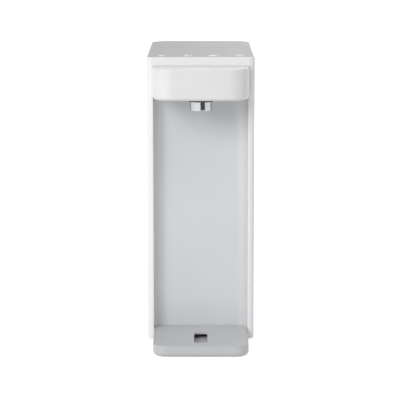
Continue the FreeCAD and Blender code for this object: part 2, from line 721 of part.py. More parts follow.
def key_places():
    first = KEY_MARGIN - HALF_TOUCH_BOARD
    pitch = -2 * first / (KEY_COUNT - 1)
    return [(first + pitch * number, KEY_SETBACK) for number in range(KEY_COUNT)]


def touch_screw_places():
    x = HALF_TOUCH_BOARD - TOUCH_SCREW_INSET
    return [(sx * x, y) for sx in (-1, 1) for y in TOUCH_SCREW_SETBACKS]


def control_panel():
    """Grey top panel let into the casing's rim, with a rib below it and pockets under its touch keys."""
    plate = extruded(panel_plan(PANEL_RIM + PANEL_GAP, BACK_EDGE), PANEL_UNDERSIDE, BODY_HEIGHT)
    rib_back = BACK_EDGE - WALL - PANEL_RIB_SETBACK
    rib_plan = panel_plan(WALL + FIT_GAP, rib_back)
    inner_plan = panel_plan(WALL + FIT_GAP + PANEL_RIB, rib_back - PANEL_RIB)
    rib = extruded(rib_plan, PANEL_UNDERSIDE - PANEL_RIB_HEIGHT, PANEL_UNDERSIDE + MERGE)
    rib = rib.cut(extruded(inner_plan, 0, PANEL_UNDERSIDE))
    bosses = []
    pilots = []
    for x, y in touch_screw_places():
        bosses.append(upright(BOSS_R, x, y, TOUCH_BOARD_TOP, PANEL_UNDERSIDE + MERGE))
        pilots.append(upright(SCREW_R + RUNNING_GAP, x, y, 0, PANEL_UNDERSIDE))
    pocket_r = KEY_R + KEY_POCKET_GAP
    pockets = [upright(pocket_r, x, y, 0, PANEL_UNDERSIDE + KEY_POCKET) for x, y in key_places()]
    return joined([plate, rib] + bosses).cut(pockets + pilots)


def panel_plan(inset, back):
    """Top panel in plan, set in by inset from the casing's front and sides."""
    return rounded_plan(HALF_WIDTH - inset, inset, back, max(FRONT_CORNER_R - inset, INNER_CORNER_R), 0)


def touch_board():
    front = TOUCH_BOARD_SETBACK
    back = front + TOUCH_BOARD_DEPTH
    foot = TOUCH_BOARD_TOP - BOARD_THICKNESS
    board = centred(2 * HALF_TOUCH_BOARD, front, back, foot, TOUCH_BOARD_TOP)
    width, depth, height = TOUCH_CHIP
    chip_back = back - TOUCH_CHIP_INSET
    chip = centred(width, chip_back - depth, chip_back, TOUCH_BOARD_TOP, TOUCH_BOARD_TOP + height)
    holes = [upright(SCREW_R + SCREW_HOLE_GAP, x, y, 0, FAR) for x, y in touch_screw_places()]
    return joined([board, chip]).cut(holes)


def touch_contacts():
    """Sprung foam contact under each touch key."""
    top = PANEL_UNDERSIDE + KEY_POCKET
    return Part.makeCompound([upright(KEY_R, x, y, TOUCH_BOARD_TOP, top) for x, y in key_places()])


def touch_screws():
    foot = TOUCH_BOARD_TOP - BOARD_THICKNESS
    places = [(x, y, foot) for x, y in touch_screw_places()]
    return Part.makeCompound([screw(place, (0, 0, 1), TOUCH_SCREW_LENGTH) for place in places])


def rear_bulkhead():
    """Wall between the machinery and the tank, stiffened by ribs, with a pocket for the level switch."""
    front = BACK_EDGE - WALL
    foot = DOCK_TOP + SCREW_SEAT_GAP
    half = HALF_WIDTH - WALL - FIT_GAP
    plate = block(-half, half, front, BACK_EDGE, foot, PANEL_UNDERSIDE - FIT_GAP)
    rib_top = PANEL_UNDERSIDE - BULKHEAD_RIB_DROP
    ribs = []
    for x in (-BULKHEAD_RIB_PITCH, 0, BULKHEAD_RIB_PITCH):
        rib = centred(BULKHEAD_RIB_WIDTH, front - BULKHEAD_RIB_DEPTH, front + MERGE, foot, rib_top)
        rib.translate(Vector(x, 0, 0))
        ribs.append(rib)
    slot_half = SWITCH_WIDTH / 2 + SWITCH_GAP
    slot_front = switch_back() - SWITCH_DEPTH - SWITCH_GAP
    holder_width = 2 * (slot_half + HOLDER_WALL)
    holder = centred(holder_width, slot_front - HOLDER_WALL, front + MERGE, TANK_FLOOR_TOP, switch_top())
    slot = centred(2 * slot_half, slot_front, switch_back() + SWITCH_GAP, TANK_FLOOR_TOP + SWITCH_LIFT, FAR)
    for piece in (holder, slot):
        piece.translate(Vector(FLOAT_PLACE[0], 0, 0))
    return joined([plate, holder] + ribs).cut(slot)


def switch_back():
    return BACK_EDGE - WALL - SWITCH_WALL


def switch_top():
    return TANK_FLOOR_TOP + SWITCH_LIFT + SWITCH_HEIGHT


def level_switch():
    """Reed switch that the float's magnet works through the tank's wall."""
    foot = TANK_FLOOR_TOP + SWITCH_LIFT
    switch = centred(SWITCH_WIDTH, switch_back() - SWITCH_DEPTH, switch_back(), foot, switch_top())
    switch.translate(Vector(FLOAT_PLACE[0], 0, 0))
    return switch


def dock_posts():
    x = HALF_WIDTH - DOCK_POST_INSET
    return [(sx * x, y) for sx in (-1, 1) for y in (PANEL_DEPTH + DOCK_POST_FRONT, BODY_DEPTH - DOCK_POST_REAR)]


def tank_dock():
    """Shelf that the tank stands on, with the posts that carry it and a hole for the water port."""
    inset = WALL + FIT_GAP
    foot = DOCK_TOP - DOCK_THICKNESS
    front = BACK_EDGE - WALL - DOCK_LEDGE
    plan = rounded_plan(HALF_WIDTH - inset, front, BODY_DEPTH - inset, 0, REAR_CORNER_R - inset)
    posts = [upright(DOCK_POST_R, x, y, BASE_TOP, foot + MERGE) for x, y in dock_posts()]
    shelf = joined([extruded(plan, foot, DOCK_TOP)] + posts)
    pilot_top = BASE_TOP + 2 * BASE_SCREW_LENGTH
    pilots = [upright(SCREW_R + RUNNING_GAP, x, y, 0, pilot_top) for x, y in dock_posts()]
    return shelf.cut(pilots).cut(upright(PORT_RIM_R + PORT_GAP, 0, VALVE_Y, 0, FAR))


def dock_port():
    """Cup that takes the tank's valve. Its pin lifts the poppet, and its spigot feeds the pump."""
    cup_floor = TANK_FOOT - VALVE_DROP - PORT_DROP
    sump_floor = PUMP_AXIS_Z - SPIGOT_R - SUMP_ROOM
    flange_top = DOCK_TOP - DOCK_THICKNESS
    seal_floor = DOCK_TOP - DOCK_SEAL_HEIGHT
    bore_r = VALVE_R + PORT_ROOM
    seal_r = bore_r + PORT_WALL
    sump_outer = SUMP_R + SUMP_WALL
    pin_top = STEM_FOOT - FIT_GAP
    section = [
        (0, sump_floor - SUMP_FLOOR),
        (sump_outer, sump_floor - SUMP_FLOOR),
        (sump_outer, cup_floor - PORT_FLANGE),
        (PORT_RIM_R, cup_floor - PORT_FLANGE),
        (PORT_RIM_R, flange_top - PORT_FLANGE),
        (PORT_FLANGE_R, flange_top - PORT_FLANGE),
        (PORT_FLANGE_R, flange_top),
        (PORT_RIM_R, flange_top),
        (PORT_RIM_R, DOCK_TOP),
        (seal_r, DOCK_TOP),
        (seal_r, seal_floor),
        (bore_r, seal_floor),
        (bore_r, cup_floor),
        (SUMP_R, cup_floor),
        (SUMP_R, sump_floor),
        (STEM_R, sump_floor),
        (STEM_R, pin_top),
        (0, pin_top),
    ]
    cup = turned(section, 0, VALVE_Y)
    spigot = rod(SPIGOT_R, (0, VALVE_Y - SUMP_R - MERGE, PUMP_AXIS_Z), (0, port_spigot_y(), PUMP_AXIS_Z))
    bore = rod(SPIGOT_BORE_R, (0, VALVE_Y - SUMP_R + MERGE, PUMP_AXIS_Z), (0, 0, PUMP_AXIS_Z))
    return joined([cup, spigot]).cut(bore)


def port_spigot_y():
    return VALVE_Y - PORT_SPIGOT_REACH


def dock_seal():
    outer = VALVE_R + PORT_ROOM + PORT_WALL - SEAL_GAP
    foot = DOCK_TOP - DOCK_SEAL_HEIGHT + SEAL_GAP
    return ring(outer, VALVE_R + SEAL_GAP, 0, VALVE_Y, foot, DOCK_TOP - SEAL_GAP)


def base_plate():
    """Bottom plate with a tongue in front that carries the drip tray."""
    inset = WALL + FIT_GAP
    front = RECESS_DEPTH + FIT_GAP
    main = rounded_plan(HALF_WIDTH - inset, front, BODY_DEPTH - inset, 0, REAR_CORNER_R - inset)
    tongue = rounded_plan(HALF_TONGUE, -TONGUE_REACH, RECESS_DEPTH + WALL, TONGUE_CORNER_R, 0)
    plate = joined([extruded(main, FOOT_HEIGHT, BASE_TOP), extruded(tongue, FOOT_HEIGHT, BASE_TOP)])
    first = -VENT_PITCH * (VENT_COUNT - 1) / 2
    vents = []
    for number in range(VENT_COUNT):
        vent = centred(VENT_WIDTH, VENT_SETBACK, VENT_SETBACK + VENT_LENGTH, 0, FAR)
        vent.translate(Vector(first + VENT_PITCH * number, 0, 0))
        vents.append(vent)
    holes = [upright(SCREW_R + SCREW_HOLE_GAP, x, y, 0, FAR) for x, y in base_screw_places()]
    return plate.cut(vents + holes)


def frame_screw_places():
    return [(sx * FRAME_SCREW_X, FRAME_SETBACK + y) for sx in (-1, 1) for y in FRAME_SCREW_SETBACKS]


def base_screw_places():
    return dock_posts() + frame_screw_places()


def base_screws():
    places = [(x, y, FOOT_HEIGHT) for x, y in base_screw_places()]
    return Part.makeCompound([screw(place, (0, 0, 1), BASE_SCREW_LENGTH) for place in places])


def base_feet():
    """Two feet under the tongue's front and two under the tank."""
    front = (HALF_TONGUE - FRONT_FOOT_INSET[0], FRONT_FOOT_INSET[1] - TONGUE_REACH)
    rear = (HALF_WIDTH - REAR_FOOT_INSET[0], BODY_DEPTH - REAR_FOOT_INSET[1])
    section = [
        (0, 0),
        (FOOT_R - FOOT_CHAMFER, 0),
        (FOOT_R, FOOT_CHAMFER),
        (FOOT_R, FOOT_HEIGHT),
        (0, FOOT_HEIGHT),
    ]
    return Part.makeCompound([turned(section, sx * x, y) for sx in (-1, 1) for x, y in (front, rear)])


def cover_plan(inset):
    """Plan that the tray's rim, cover and basin share, set in by inset from the tray's outside."""
    half = HALF_RECESS - SLIDE_GAP - inset
    back = WALL + RECESS_CORNER_R - SLIDE_GAP - inset
    return rounded_plan(half, inset - TRAY_REACH, back, TRAY_CORNER_R - inset, COVER_REAR_R - inset)


def drip_tray():
    """Basin that slides out along the base plate's tongue. Its skirt hides the tongue."""
    front = rounded_plan(HALF_RECESS - SLIDE_GAP, -TRAY_REACH, WALL, TRAY_CORNER_R, 0)
    nose = extruded(front, TRAY_LIFT, TRAY_HEIGHT)

    def outer_edge(z):
        return lambda b: abs(b.ZMin - z) < 0.01 and abs(b.ZMax - z) < 0.01 and b.YMin < WALL - 0.01

    nose = softened(nose, TRAY_EDGE_R, outer_edge(TRAY_LIFT))
    nose = softened(nose, TRAY_TOP_R, outer_edge(TRAY_HEIGHT))
    tray = joined([nose, extruded(recess_plan(-SLIDE_GAP), TRAY_LIFT, TRAY_HEIGHT)])
    channel_half = HALF_TONGUE + SLIDE_GAP
    channel = rounded_plan(channel_half, -TONGUE_REACH - SLIDE_GAP, FAR, TONGUE_CORNER_R + SLIDE_GAP, 0)
    tray = tray.cut(extruded(channel, 0, BASE_TOP + SLIDE_GAP))
    tray = tray.cut(extruded(cover_plan(TRAY_WALL), TRAY_FLOOR_TOP, FAR))
    return tray.cut(extruded(cover_plan(TRAY_RIM), TRAY_HEIGHT - COVER_THICKNESS, FAR))


def tray_cover():
    """Lift-off plate flush with the tray's rim, with one rounded drain slot."""
    plate = extruded(cover_plan(TRAY_RIM + FIT_GAP), TRAY_HEIGHT - COVER_THICKNESS, TRAY_HEIGHT)
    back = DRAIN_LENGTH - DRAIN_FRONT
    slot = rounded_plan(DRAIN_WIDTH / 2, -DRAIN_FRONT, back, DRAIN_CORNER_R, DRAIN_CORNER_R)
    return plate.cut(extruded(slot, 0, FAR))


def tank_plan(inset):
    front_r = max(TANK_FRONT_R - inset, TANK_INNER_R)
    return rounded_plan(TANK_HALF - inset, TANK_FRONT + inset, TANK_BACK - inset, front_r, TANK_REAR_R - inset)


def hinge_ears():
    """The tank's two ears, each with its knuckle round the hinge axis."""
    inner = HINGE_SPAN / 2
    outer = inner + EAR_WIDTH
    ear_r = HINGE_R - EAR_CLEARANCE
    knuckle = rod(ear_r, (inner, HINGE_Y, HINGE_Z), (outer, HINGE_Y, HINGE_Z))
    neck = block(inner, outer, HINGE_Y - ear_r, HINGE_Y + ear_r, TANK_TOP - EAR_NECK, HINGE_Z)
    return both_sides(joined([knuckle, neck]))


def hinge_pin_hole(radius):
    return rod(radius, (-FAR, HINGE_Y, HINGE_Z), (FAR, HINGE_Y, HINGE_Z))


def water_tank():
    """Clear lift-out tank. Its foot is set in to sit inside the casing's rim."""
    body = extruded(tank_plan(0), SKIRT_HEIGHT + JOINT_GAP, TANK_TOP)
    foot = extruded(tank_plan(TANK_STEP), TANK_FOOT, SKIRT_HEIGHT + JOINT_GAP + MERGE)
    tank = joined([body, foot]).cut(extruded(tank_plan(TANK_WALL), TANK_FLOOR_TOP, FAR))
    tank = joined([tank] + hinge_ears()).cut(hinge_pin_hole(HINGE_PIN_R + PIN_PRESS_GAP))
    return tank.cut(upright(VALVE_R + FIT_GAP, 0, VALVE_Y, 0, TANK_FLOOR_TOP + MERGE))


def lid_pin():
    reach = HINGE_SPAN / 2 + EAR_WIDTH
    return rod(HINGE_PIN_R, (-reach, HINGE_Y, HINGE_Z), (reach, HINGE_Y, HINGE_Z))


def tank_lid():
    """Tank lid: a shallow cap with an inner rim and a hinge barrel along its back edge."""
    cap = extruded(tank_plan(0), LID_FOOT, BODY_HEIGHT).cut(extruded(tank_plan(LID_WALL), 0, PANEL_UNDERSIDE))
    rim_inset = TANK_WALL + LID_RIM_GAP
    rim = extruded(tank_plan(rim_inset), LID_FOOT - LID_RIM_DROP, PANEL_UNDERSIDE + MERGE)
    rim = rim.cut(extruded(tank_plan(rim_inset + LID_RIM_WALL), 0, PANEL_UNDERSIDE))
    half = HINGE_SPAN / 2 - FIT_GAP
    barrel = rod(HINGE_R - BARREL_CLEARANCE, (-half, HINGE_Y, HINGE_Z), (half, HINGE_Y, HINGE_Z))
    lid = joined([cap, rim, barrel])
    swing = rod(HINGE_R, (-HALF_WIDTH, HINGE_Y, HINGE_Z), (HALF_WIDTH, HINGE_Y, HINGE_Z))
    under = centred(BODY_WIDTH, HINGE_Y, BODY_DEPTH, 0, HINGE_Z)
    lid = lid.cut(under.cut(swing))
    room = HINGE_R - NOTCH_CLEARANCE
    notch = block(half, half + EAR_WIDTH + 2 * FIT_GAP, HINGE_Y - room, BODY_DEPTH, 0, HINGE_Z + room)
    return lid.cut(both_sides(notch)).cut(hinge_pin_hole(HINGE_PIN_R + RUNNING_GAP))


def tank_valve_body():
    """Barrel through the tank's floor, with the poppet's seat at its lower end."""
    foot = TANK_FOOT - VALVE_DROP
    section = [
        (VALVE_SEAT_R, foot + VALVE_CHAMFER),
        (VALVE_BORE_R, foot),
        (VALVE_R - VALVE_CHAMFER / 2, foot),
        (VALVE_R, foot + VALVE_CHAMFER),
        (VALVE_R, FLANGE_FOOT),
        (VALVE_FLANGE_R, FLANGE_FOOT),
        (VALVE_FLANGE_R, FLANGE_TOP),
        (VALVE_BORE_R, FLANGE_TOP),
        (VALVE_BORE_R, SEAT_TOP),
        (VALVE_SEAT_R, SEAT_TOP),
    ]
    return turned(section, 0, VALVE_Y)


def valve_seal():
    return ring(VALVE_FLANGE_R - SEAL_INSET, VALVE_R + SEAL_GAP, 0, VALVE_Y, TANK_FLOOR_TOP, FLANGE_FOOT)


def valve_poppet():
    """Poppet with a soft lower pad, the stem that the dock's pin lifts, and a guide stem above."""
    section = [
        (0, STEM_FOOT),
        (STEM_R, STEM_FOOT),
        (STEM_R, POPPET_FOOT),
        (POPPET_R - POPPET_CHAMFER, POPPET_FOOT),
        (POPPET_R, POPPET_FOOT + POPPET_CHAMFER),
        (POPPET_R, POPPET_TOP),
        (STEM_R, POPPET_TOP),
        (STEM_R, GUIDE_FOOT + POPPET_GUIDE_STEM),
        (0, GUIDE_FOOT + POPPET_GUIDE_STEM),
    ]
    return turned(section, 0, VALVE_Y)


def valve_guide():
    """Spider that guides the poppet's stem and holds the spring's upper end."""
    top = GUIDE_FOOT + GUIDE_HEIGHT
    rim = ring(VALVE_R, VALVE_BORE_R, 0, VALVE_Y, GUIDE_FOOT, top)
    arms = []
    for number in range(GUIDE_ARM_COUNT):
        arm = centred(GUIDE_ARM, VALVE_Y, VALVE_Y + VALVE_BORE_R + MERGE, GUIDE_FOOT, top)
        arm.rotate(Vector(0, VALVE_Y, 0), Vector(0, 0, 1), 360 / GUIDE_ARM_COUNT * number)
        arms.append(arm)
    hub = upright(GUIDE_HUB_R, 0, VALVE_Y, GUIDE_FOOT, top)
    return joined([rim, hub] + arms).cut(upright(STEM_R + RUNNING_GAP, 0, VALVE_Y, 0, FAR))


def helix_point(half_turns, rise):
    """Point and direction of the spring's helix after a number of half turns."""
    angle = math.pi * half_turns
    at = Vector(SPRING_COIL_R * math.cos(angle), SPRING_COIL_R * math.sin(angle), rise * half_turns)
    around = math.pi * SPRING_COIL_R
    along = Vector(-around * math.sin(angle), around * math.cos(angle), rise).normalize()
    return at, along


def biarc(start, start_along, end, end_along):
    """Two arcs, tangent to each other, from start to end with the given end directions."""
    across = end - start
    turn = start_along + end_along
    bend = 2 * (1 - start_along.dot(end_along))
    reach = across.dot(turn)
    d = (math.sqrt(reach * reach + bend * across.dot(across)) - reach) / bend
    joint = (start + start_along * d + end - end_along * d) * 0.5
    return [tangent_arc(start, joint, start_along), tangent_arc(end, joint, end_along * -1)]


def tangent_arc(start, end, along):
    """Arc from start to end that leaves start in the direction along."""
    chord = end - start
    unit = chord * (1 / chord.Length)
    side = along - unit * along.dot(unit)
    bulge = chord.Length / 2 * math.tan(along.getAngle(unit) / 2)
    middle = (start + end) * 0.5 + side.normalize() * bulge
    return Part.Arc(start, middle, end).toShape()


def valve_spring():
    """Coil spring between poppet and guide. One unbroken wire, its pitch worked out from the space."""
    foot = POPPET_TOP + SPRING_END_GAP + SPRING_WIRE_R
    top = GUIDE_FOOT - SPRING_END_GAP - SPRING_WIRE_R
    pitch = (top - foot) / SPRING_TURNS
    rise = pitch / 2
    edges = []
    for half_turn in range(round(2 * SPRING_TURNS)):
        edges += biarc(*helix_point(half_turn, rise), *helix_point(half_turn + 1, rise))
    start, along = helix_point(0, rise)
    section = Part.Wire(Part.makeCircle(SPRING_WIRE_R, start, along))
    wire = Part.Wire(edges).makePipeShell([section], True, False)
    wire.translate(Vector(0, VALVE_Y, foot))
    slope = math.atan2(pitch, 2 * math.pi * SPRING_COIL_R)
    print("valve spring: least gap between turns %.2f mm" % (pitch * math.cos(slope) - 2 * SPRING_WIRE_R))
    return wire


def tank_filter():
    """Slotted cap over the valve that keeps scale out of the pump."""
    top = FLANGE_TOP + FILTER_HEIGHT
    cap = upright(FILTER_R, 0, VALVE_Y, FLANGE_TOP, top)
    cap = cap.cut(upright(FILTER_R - FILTER_WALL, 0, VALVE_Y, 0, top - FILTER_WALL))
    slot_foot = FLANGE_TOP + FILTER_SLOT_MARGIN[0]
    slot_top = top - FILTER_SLOT_MARGIN[1]
    slots = []
    for number in range(FILTER_SLOT_COUNT):
        slot = centred(FILTER_SLOT_WIDTH, VALVE_Y - FILTER_R, VALVE_Y + FILTER_R, slot_foot, slot_top)
        slot.rotate(Vector(0, VALVE_Y, 0), Vector(0, 0, 1), 180 / FILTER_SLOT_COUNT * number)
        slots.append(slot)
    return cap.cut(slots)


def float_guide():
    """Rod on the tank's floor that the float slides on, with a cap that keeps the float on it."""
    base_r = FLOAT_R - FLOAT_BASE_INSET
    base_top = TANK_FLOOR_TOP + FLOAT_BASE
    stop = base_top + FLOAT_HEIGHT + FLOAT_TRAVEL + 2 * FIT_GAP
    section = [
        (0, TANK_FLOOR_TOP),
        (base_r, TANK_FLOOR_TOP),
        (base_r, base_top),
        (FLOAT_ROD_R, base_top),
        (FLOAT_ROD_R, stop),
        (FLOAT_ROD_R + FLOAT_STOP_OVERHANG, stop),
        (FLOAT_ROD_R + FLOAT_STOP_OVERHANG / 2, stop + FLOAT_STOP),
        (0, stop + FLOAT_STOP),
    ]
    return turned(section, FLOAT_PLACE[0], FLOAT_Y)


def level_float():
    """Float with the magnet that works the level switch."""
    foot = TANK_FLOOR_TOP + FLOAT_BASE + FIT_GAP
    body = ring(FLOAT_R, FLOAT_ROD_R + RUNNING_GAP, FLOAT_PLACE[0], FLOAT_Y, foot, foot + FLOAT_HEIGHT)
    return softened(body, FLOAT_EDGE_R, lambda b: b.XLength > 2 * FLOAT_R - 0.1 and b.ZLength < 0.01)


def cord_gland():
    """Bush in the casing's back wall where the mains lead goes in."""
    inside = BODY_DEPTH - WALL
    section = [
        (GLAND_BORE_R, inside - GLAND_DEPTH),
        (GLAND_FLANGE_R, inside - GLAND_DEPTH),
        (GLAND_FLANGE_R, inside - FIT_GAP),
        (GLAND_R, inside - FIT_GAP),
        (GLAND_R, BODY_DEPTH),
        (GLAND_BORE_R, BODY_DEPTH),
    ]
    return turned_along_y(section, GLAND_X, GLAND_Z)


def board_posts():
    x = BOARD_WIDTH / 2 - BOARD_POST_INSET[0]
    low = BOARD_FOOT + BOARD_POST_INSET[1]
    high = BOARD_FOOT + BOARD_HEIGHT - BOARD_POST_INSET[1]
    return [(sx * x, z) for sx in (-1, 1) for z in (low, high)]


def inner_frame():
    """Upright plate and foot that carry the heater, the pump and the power board, stiffened by two gussets."""
    half = FRAME_WIDTH / 2
    back = FRAME_SETBACK + FRAME_WALL
    foot_top = BASE_TOP + FRAME_WALL
    upright_plate = block(-half, half, FRAME_SETBACK, back, BASE_TOP, FRAME_TOP)
    foot = block(-half, half, FRAME_SETBACK, FRAME_SETBACK + FRAME_FOOT_DEPTH, BASE_TOP, foot_top)
    inner_x = half - FRAME_WALL
    gusset_top = BASE_TOP + GUSSET_HEIGHT
    corners = [
        Vector(inner_x, back - MERGE, foot_top - MERGE),
        Vector(inner_x, FRAME_SETBACK + FRAME_FOOT_DEPTH, foot_top - MERGE),
        Vector(inner_x, back + GUSSET_TOP, gusset_top),
        Vector(inner_x, back - MERGE, gusset_top),
    ]
    gusset = Part.Face(Part.makePolygon(corners + corners[:1])).extrude(Vector(FRAME_WALL, 0, 0))
    pilot_r = SCREW_R + RUNNING_GAP
    bosses = []
    cuts = []
    for x, z in board_posts():
        bosses.append(rod(BOSS_R, (x, BOARD_FACE, z), (x, FRAME_SETBACK + MERGE, z)))
        cuts.append(rod(pilot_r, (x, 0, z), (x, BOARD_FACE + BOARD_SCREW_LENGTH, z)))
    for x, y in frame_screw_places():
        bosses.append(upright(BOSS_R, x, y, BASE_TOP, BASE_TOP + FRAME_POST))
        cuts.append(upright(pilot_r, x, y, 0, BASE_TOP + BASE_SCREW_LENGTH - FRAME_WALL / 2))
    width, height = FRAME_WINDOW
    for number in range(2):
        window_top = FRAME_TOP - FRAME_WINDOW_MARGIN - FRAME_WINDOW_PITCH * number
        left = FRAME_WINDOW_X - width / 2
        cuts += both_sides(block(left, left + width, 0, FAR, window_top - height, window_top))
    return joined([upright_plate, foot] + both_sides(gusset) + bosses).cut(cuts)


def heater_place():
    return 0.0, HEATER_SETBACK


def heater_tube():
    x, y = heater_place()
    return ring(HEATER_R, HEATER_R - HEATER_WALL, x, y, HEATER_FOOT, HEATER_TOP)


def heater_cap(lower):
    """End cap of the heater with its water spigot, the same for both ends and mirrored for the upper."""
    x, y = heater_place()
    section = [
        (SPIGOT_BORE_R, -SPIGOT_LENGTH - CAP_HEIGHT),
        (SPIGOT_R, -SPIGOT_LENGTH - CAP_HEIGHT),
        (SPIGOT_R, -CAP_HEIGHT),
        (HEATER_R + CAP_RIM, -CAP_HEIGHT),
        (HEATER_R + CAP_RIM, 0),
        (HEATER_R - HEATER_WALL - CAP_GAP, 0),
        (HEATER_R - HEATER_WALL - CAP_GAP, CAP_PLUG),
        (ELEMENT_R + CAP_ROOM, CAP_PLUG),
        (ELEMENT_R + CAP_ROOM, -CAP_HEIGHT / 2),
        (SPIGOT_BORE_R, -CAP_HEIGHT / 2),
    ]
    if lower:
        return turned([(r, HEATER_FOOT + z) for r, z in section], x, y)
    return turned([(r, HEATER_TOP - z) for r, z in section], x, y)


def heater_element():
    """Heating rod down the middle of the tube, held by three fins at each end."""
    x, y = heater_place()
    core = upright(ELEMENT_R, x, y, HEATER_FOOT + CAP_PLUG, HEATER_TOP - CAP_PLUG)
    inner = HEATER_R - HEATER_WALL - CAP_GAP
    end_room = CAP_PLUG + FIT_GAP
    fins = []
    for number in range(FIN_COUNT):
        for z in (HEATER_FOOT + end_room, HEATER_TOP - end_room - FIN_HEIGHT):
            fin = block(x, x + inner, y - FIN_THICKNESS / 2, y + FIN_THICKNESS / 2, z, z + FIN_HEIGHT)
            fin.rotate(Vector(x, y, 0), Vector(0, 0, 1), 360 / FIN_COUNT * number)
            fins.append(fin)
    return joined([core] + fins).common(upright(inner, x, y, 0, FAR))


def heater_clamps():
    """Two bands that hold the heater to the frame."""
    x, y = heater_place()
    back = FRAME_SETBACK + FRAME_WALL
    bands = []
    half = CLAMP_FOOT_WIDTH / 2
    for z in (HEATER_FOOT + CLAMP_INSET, HEATER_TOP - CLAMP_INSET - CLAMP_HEIGHT):
        band = ring(HEATER_R + CLAMP_WALL, HEATER_R + RUNNING_GAP, x, y, z, z + CLAMP_HEIGHT)
        foot = block(x - half, x + half, back, y - HEATER_R + CLAMP_WALL, z, z + CLAMP_HEIGHT)
        foot = foot.cut(upright(HEATER_R + RUNNING_GAP, x, y, 0, FAR))
        bands.append(joined([band, foot]))
    return Part.makeCompound(bands)


def thermostats():
    """Two cut-outs on a saddle against the heater's side."""
    x, y = heater_place()
    discs = []
    half = SADDLE_SIZE / 2
    face = x + HEATER_R + SADDLE_WALL
    for lift in CUTOUT_HEIGHTS:
        z = HEATER_FOOT + lift
        saddle = block(face - 3 * SADDLE_WALL, face, y - half, y + half, z - half, z + half)
        saddle = saddle.cut(upright(HEATER_R + RUNNING_GAP, x, y, 0, FAR))
        disc = rod(CUTOUT_R, (face - MERGE, y, z), (face - MERGE + CUTOUT_DEPTH, y, z))
        discs.append(joined([saddle, disc]))
    return Part.makeCompound(discs)


def heater_sensor():
    x, y = heater_place()
    top = HEATER_TOP + CAP_HEIGHT
    head = rod(2 * SENSOR_R, (x + SENSOR_X, y, top), (x + SENSOR_X, y, top + SENSOR_HEAD))
    return joined([head, upright(SENSOR_R, x + SENSOR_X, y, top, top + SENSOR_LENGTH)])


def pump_housing():
    """Round pump body with its tangential outlet. The motor is held to its front face."""
    z = PUMP_AXIS_Z
    back = PUMP_FRONT + PUMP_LENGTH
    body = rod(PUMP_R, (0, PUMP_FRONT, z), (0, back, z))
    mid = pump_outlet_y()
    outlet_foot = z + PUMP_CAVITY_R / 2
    outlet = rod(SPIGOT_R, (PUMP_OUTLET_X, mid, outlet_foot), (PUMP_OUTLET_X, mid, PUMP_OUTLET_TOP))
    body = joined([body, outlet])
    cavity = rod(PUMP_CAVITY_R, (0, PUMP_FRONT + PUMP_WALL, z), (0, FAR, z))
    way = rod(SPIGOT_BORE_R, (PUMP_OUTLET_X, mid, z), (PUMP_OUTLET_X, mid, FAR))
    shaft_hole = rod(SHAFT_R + RUNNING_GAP, (0, 0, z), (0, FAR, z))
    return body.cut(cavity).cut(way).cut(shaft_hole)


def pump_outlet_y():
    """Middle of the pump's cavity, between its front wall and its cover's plug."""
    return PUMP_FRONT + (PUMP_WALL + PUMP_LENGTH - PUMP_COVER_PLUG) / 2


def pump_cover():
    z = PUMP_AXIS_Z
    back = PUMP_FRONT + PUMP_LENGTH
    plug_r = PUMP_CAVITY_R - PLUG_GAP
    outside = back + PUMP_COVER_WALL
    section = [
        (SPIGOT_BORE_R, back - PUMP_COVER_PLUG),
        (plug_r, back - PUMP_COVER_PLUG),
        (plug_r, back),
        (PUMP_R, back),
        (PUMP_R, outside),
        (SPIGOT_R, outside),
        (SPIGOT_R, outside + SPIGOT_LENGTH),
        (SPIGOT_BORE_R, outside + SPIGOT_LENGTH),
    ]
    return turned_along_y(section, 0, z)


def pump_rotor():
    """Impeller with curved vanes on the motor's shaft."""
    z = PUMP_AXIS_Z
    y0 = PUMP_FRONT + PUMP_WALL + FIT_GAP
    vane_end = PUMP_FRONT + PUMP_LENGTH - PUMP_COVER_PLUG - IMPELLER_ROOM
    disc = rod(IMPELLER_R, (0, y0, z), (0, y0 + IMPELLER_DISC, z))
    hub = rod(IMPELLER_HUB_R, (0, y0, z), (0, y0 + IMPELLER_HUB, z))
    shaft = rod(SHAFT_R, (0, PUMP_FRONT - SHAFT_REACH, z), (0, y0 + MERGE, z))
    bend_r = IMPELLER_R * VANE_BEND
    vanes = []
    for number in range(VANE_COUNT):
        curve = rod(bend_r + VANE_WIDTH / 2, (bend_r, y0, z), (bend_r, vane_end, z))
        curve = curve.cut(rod(bend_r - VANE_WIDTH / 2, (bend_r, y0 - 1, z), (bend_r, vane_end + 1, z)))
        vane = curve.common(block(0, bend_r, y0, vane_end, z, z + IMPELLER_R))
        vane.rotate(Vector(0, 0, z), Vector(0, 1, 0), 360 / VANE_COUNT * number)
        vanes.append(vane)
    wheel = joined([disc, hub] + vanes).common(rod(IMPELLER_R, (0, y0 - 1, z), (0, vane_end + 1, z)))
    return joined([wheel, shaft])


def pump_motor():
    z = PUMP_AXIS_Z
    front = PUMP_FRONT - MOTOR_LENGTH
    section = [
        (0, front),
        (MOTOR_END_R, front),
        (MOTOR_END_R, front + MOTOR_END),
        (MOTOR_R, front + MOTOR_END),
        (MOTOR_R, PUMP_FRONT),
        (SHAFT_R + RUNNING_GAP, PUMP_FRONT),
        (SHAFT_R + RUNNING_GAP, PUMP_FRONT - SHAFT_REACH - FIT_GAP),
        (0, PUMP_FRONT - SHAFT_REACH - FIT_GAP),
    ]
    return turned_along_y(section, 0, z)


def pump_mount():
    """Rubber saddle under the motor that keeps its hum out of the casing."""
    front = PUMP_FRONT - MOTOR_LENGTH + MOUNT_SETBACK
    saddle = centred(MOUNT_WIDTH, front, front + MOUNT_DEPTH, BASE_TOP + FRAME_WALL, PUMP_AXIS_Z - MOUNT_DROP)
    return saddle.cut(rod(MOTOR_R + RUNNING_GAP, (0, 0, PUMP_AXIS_Z), (0, FAR, PUMP_AXIS_Z)))


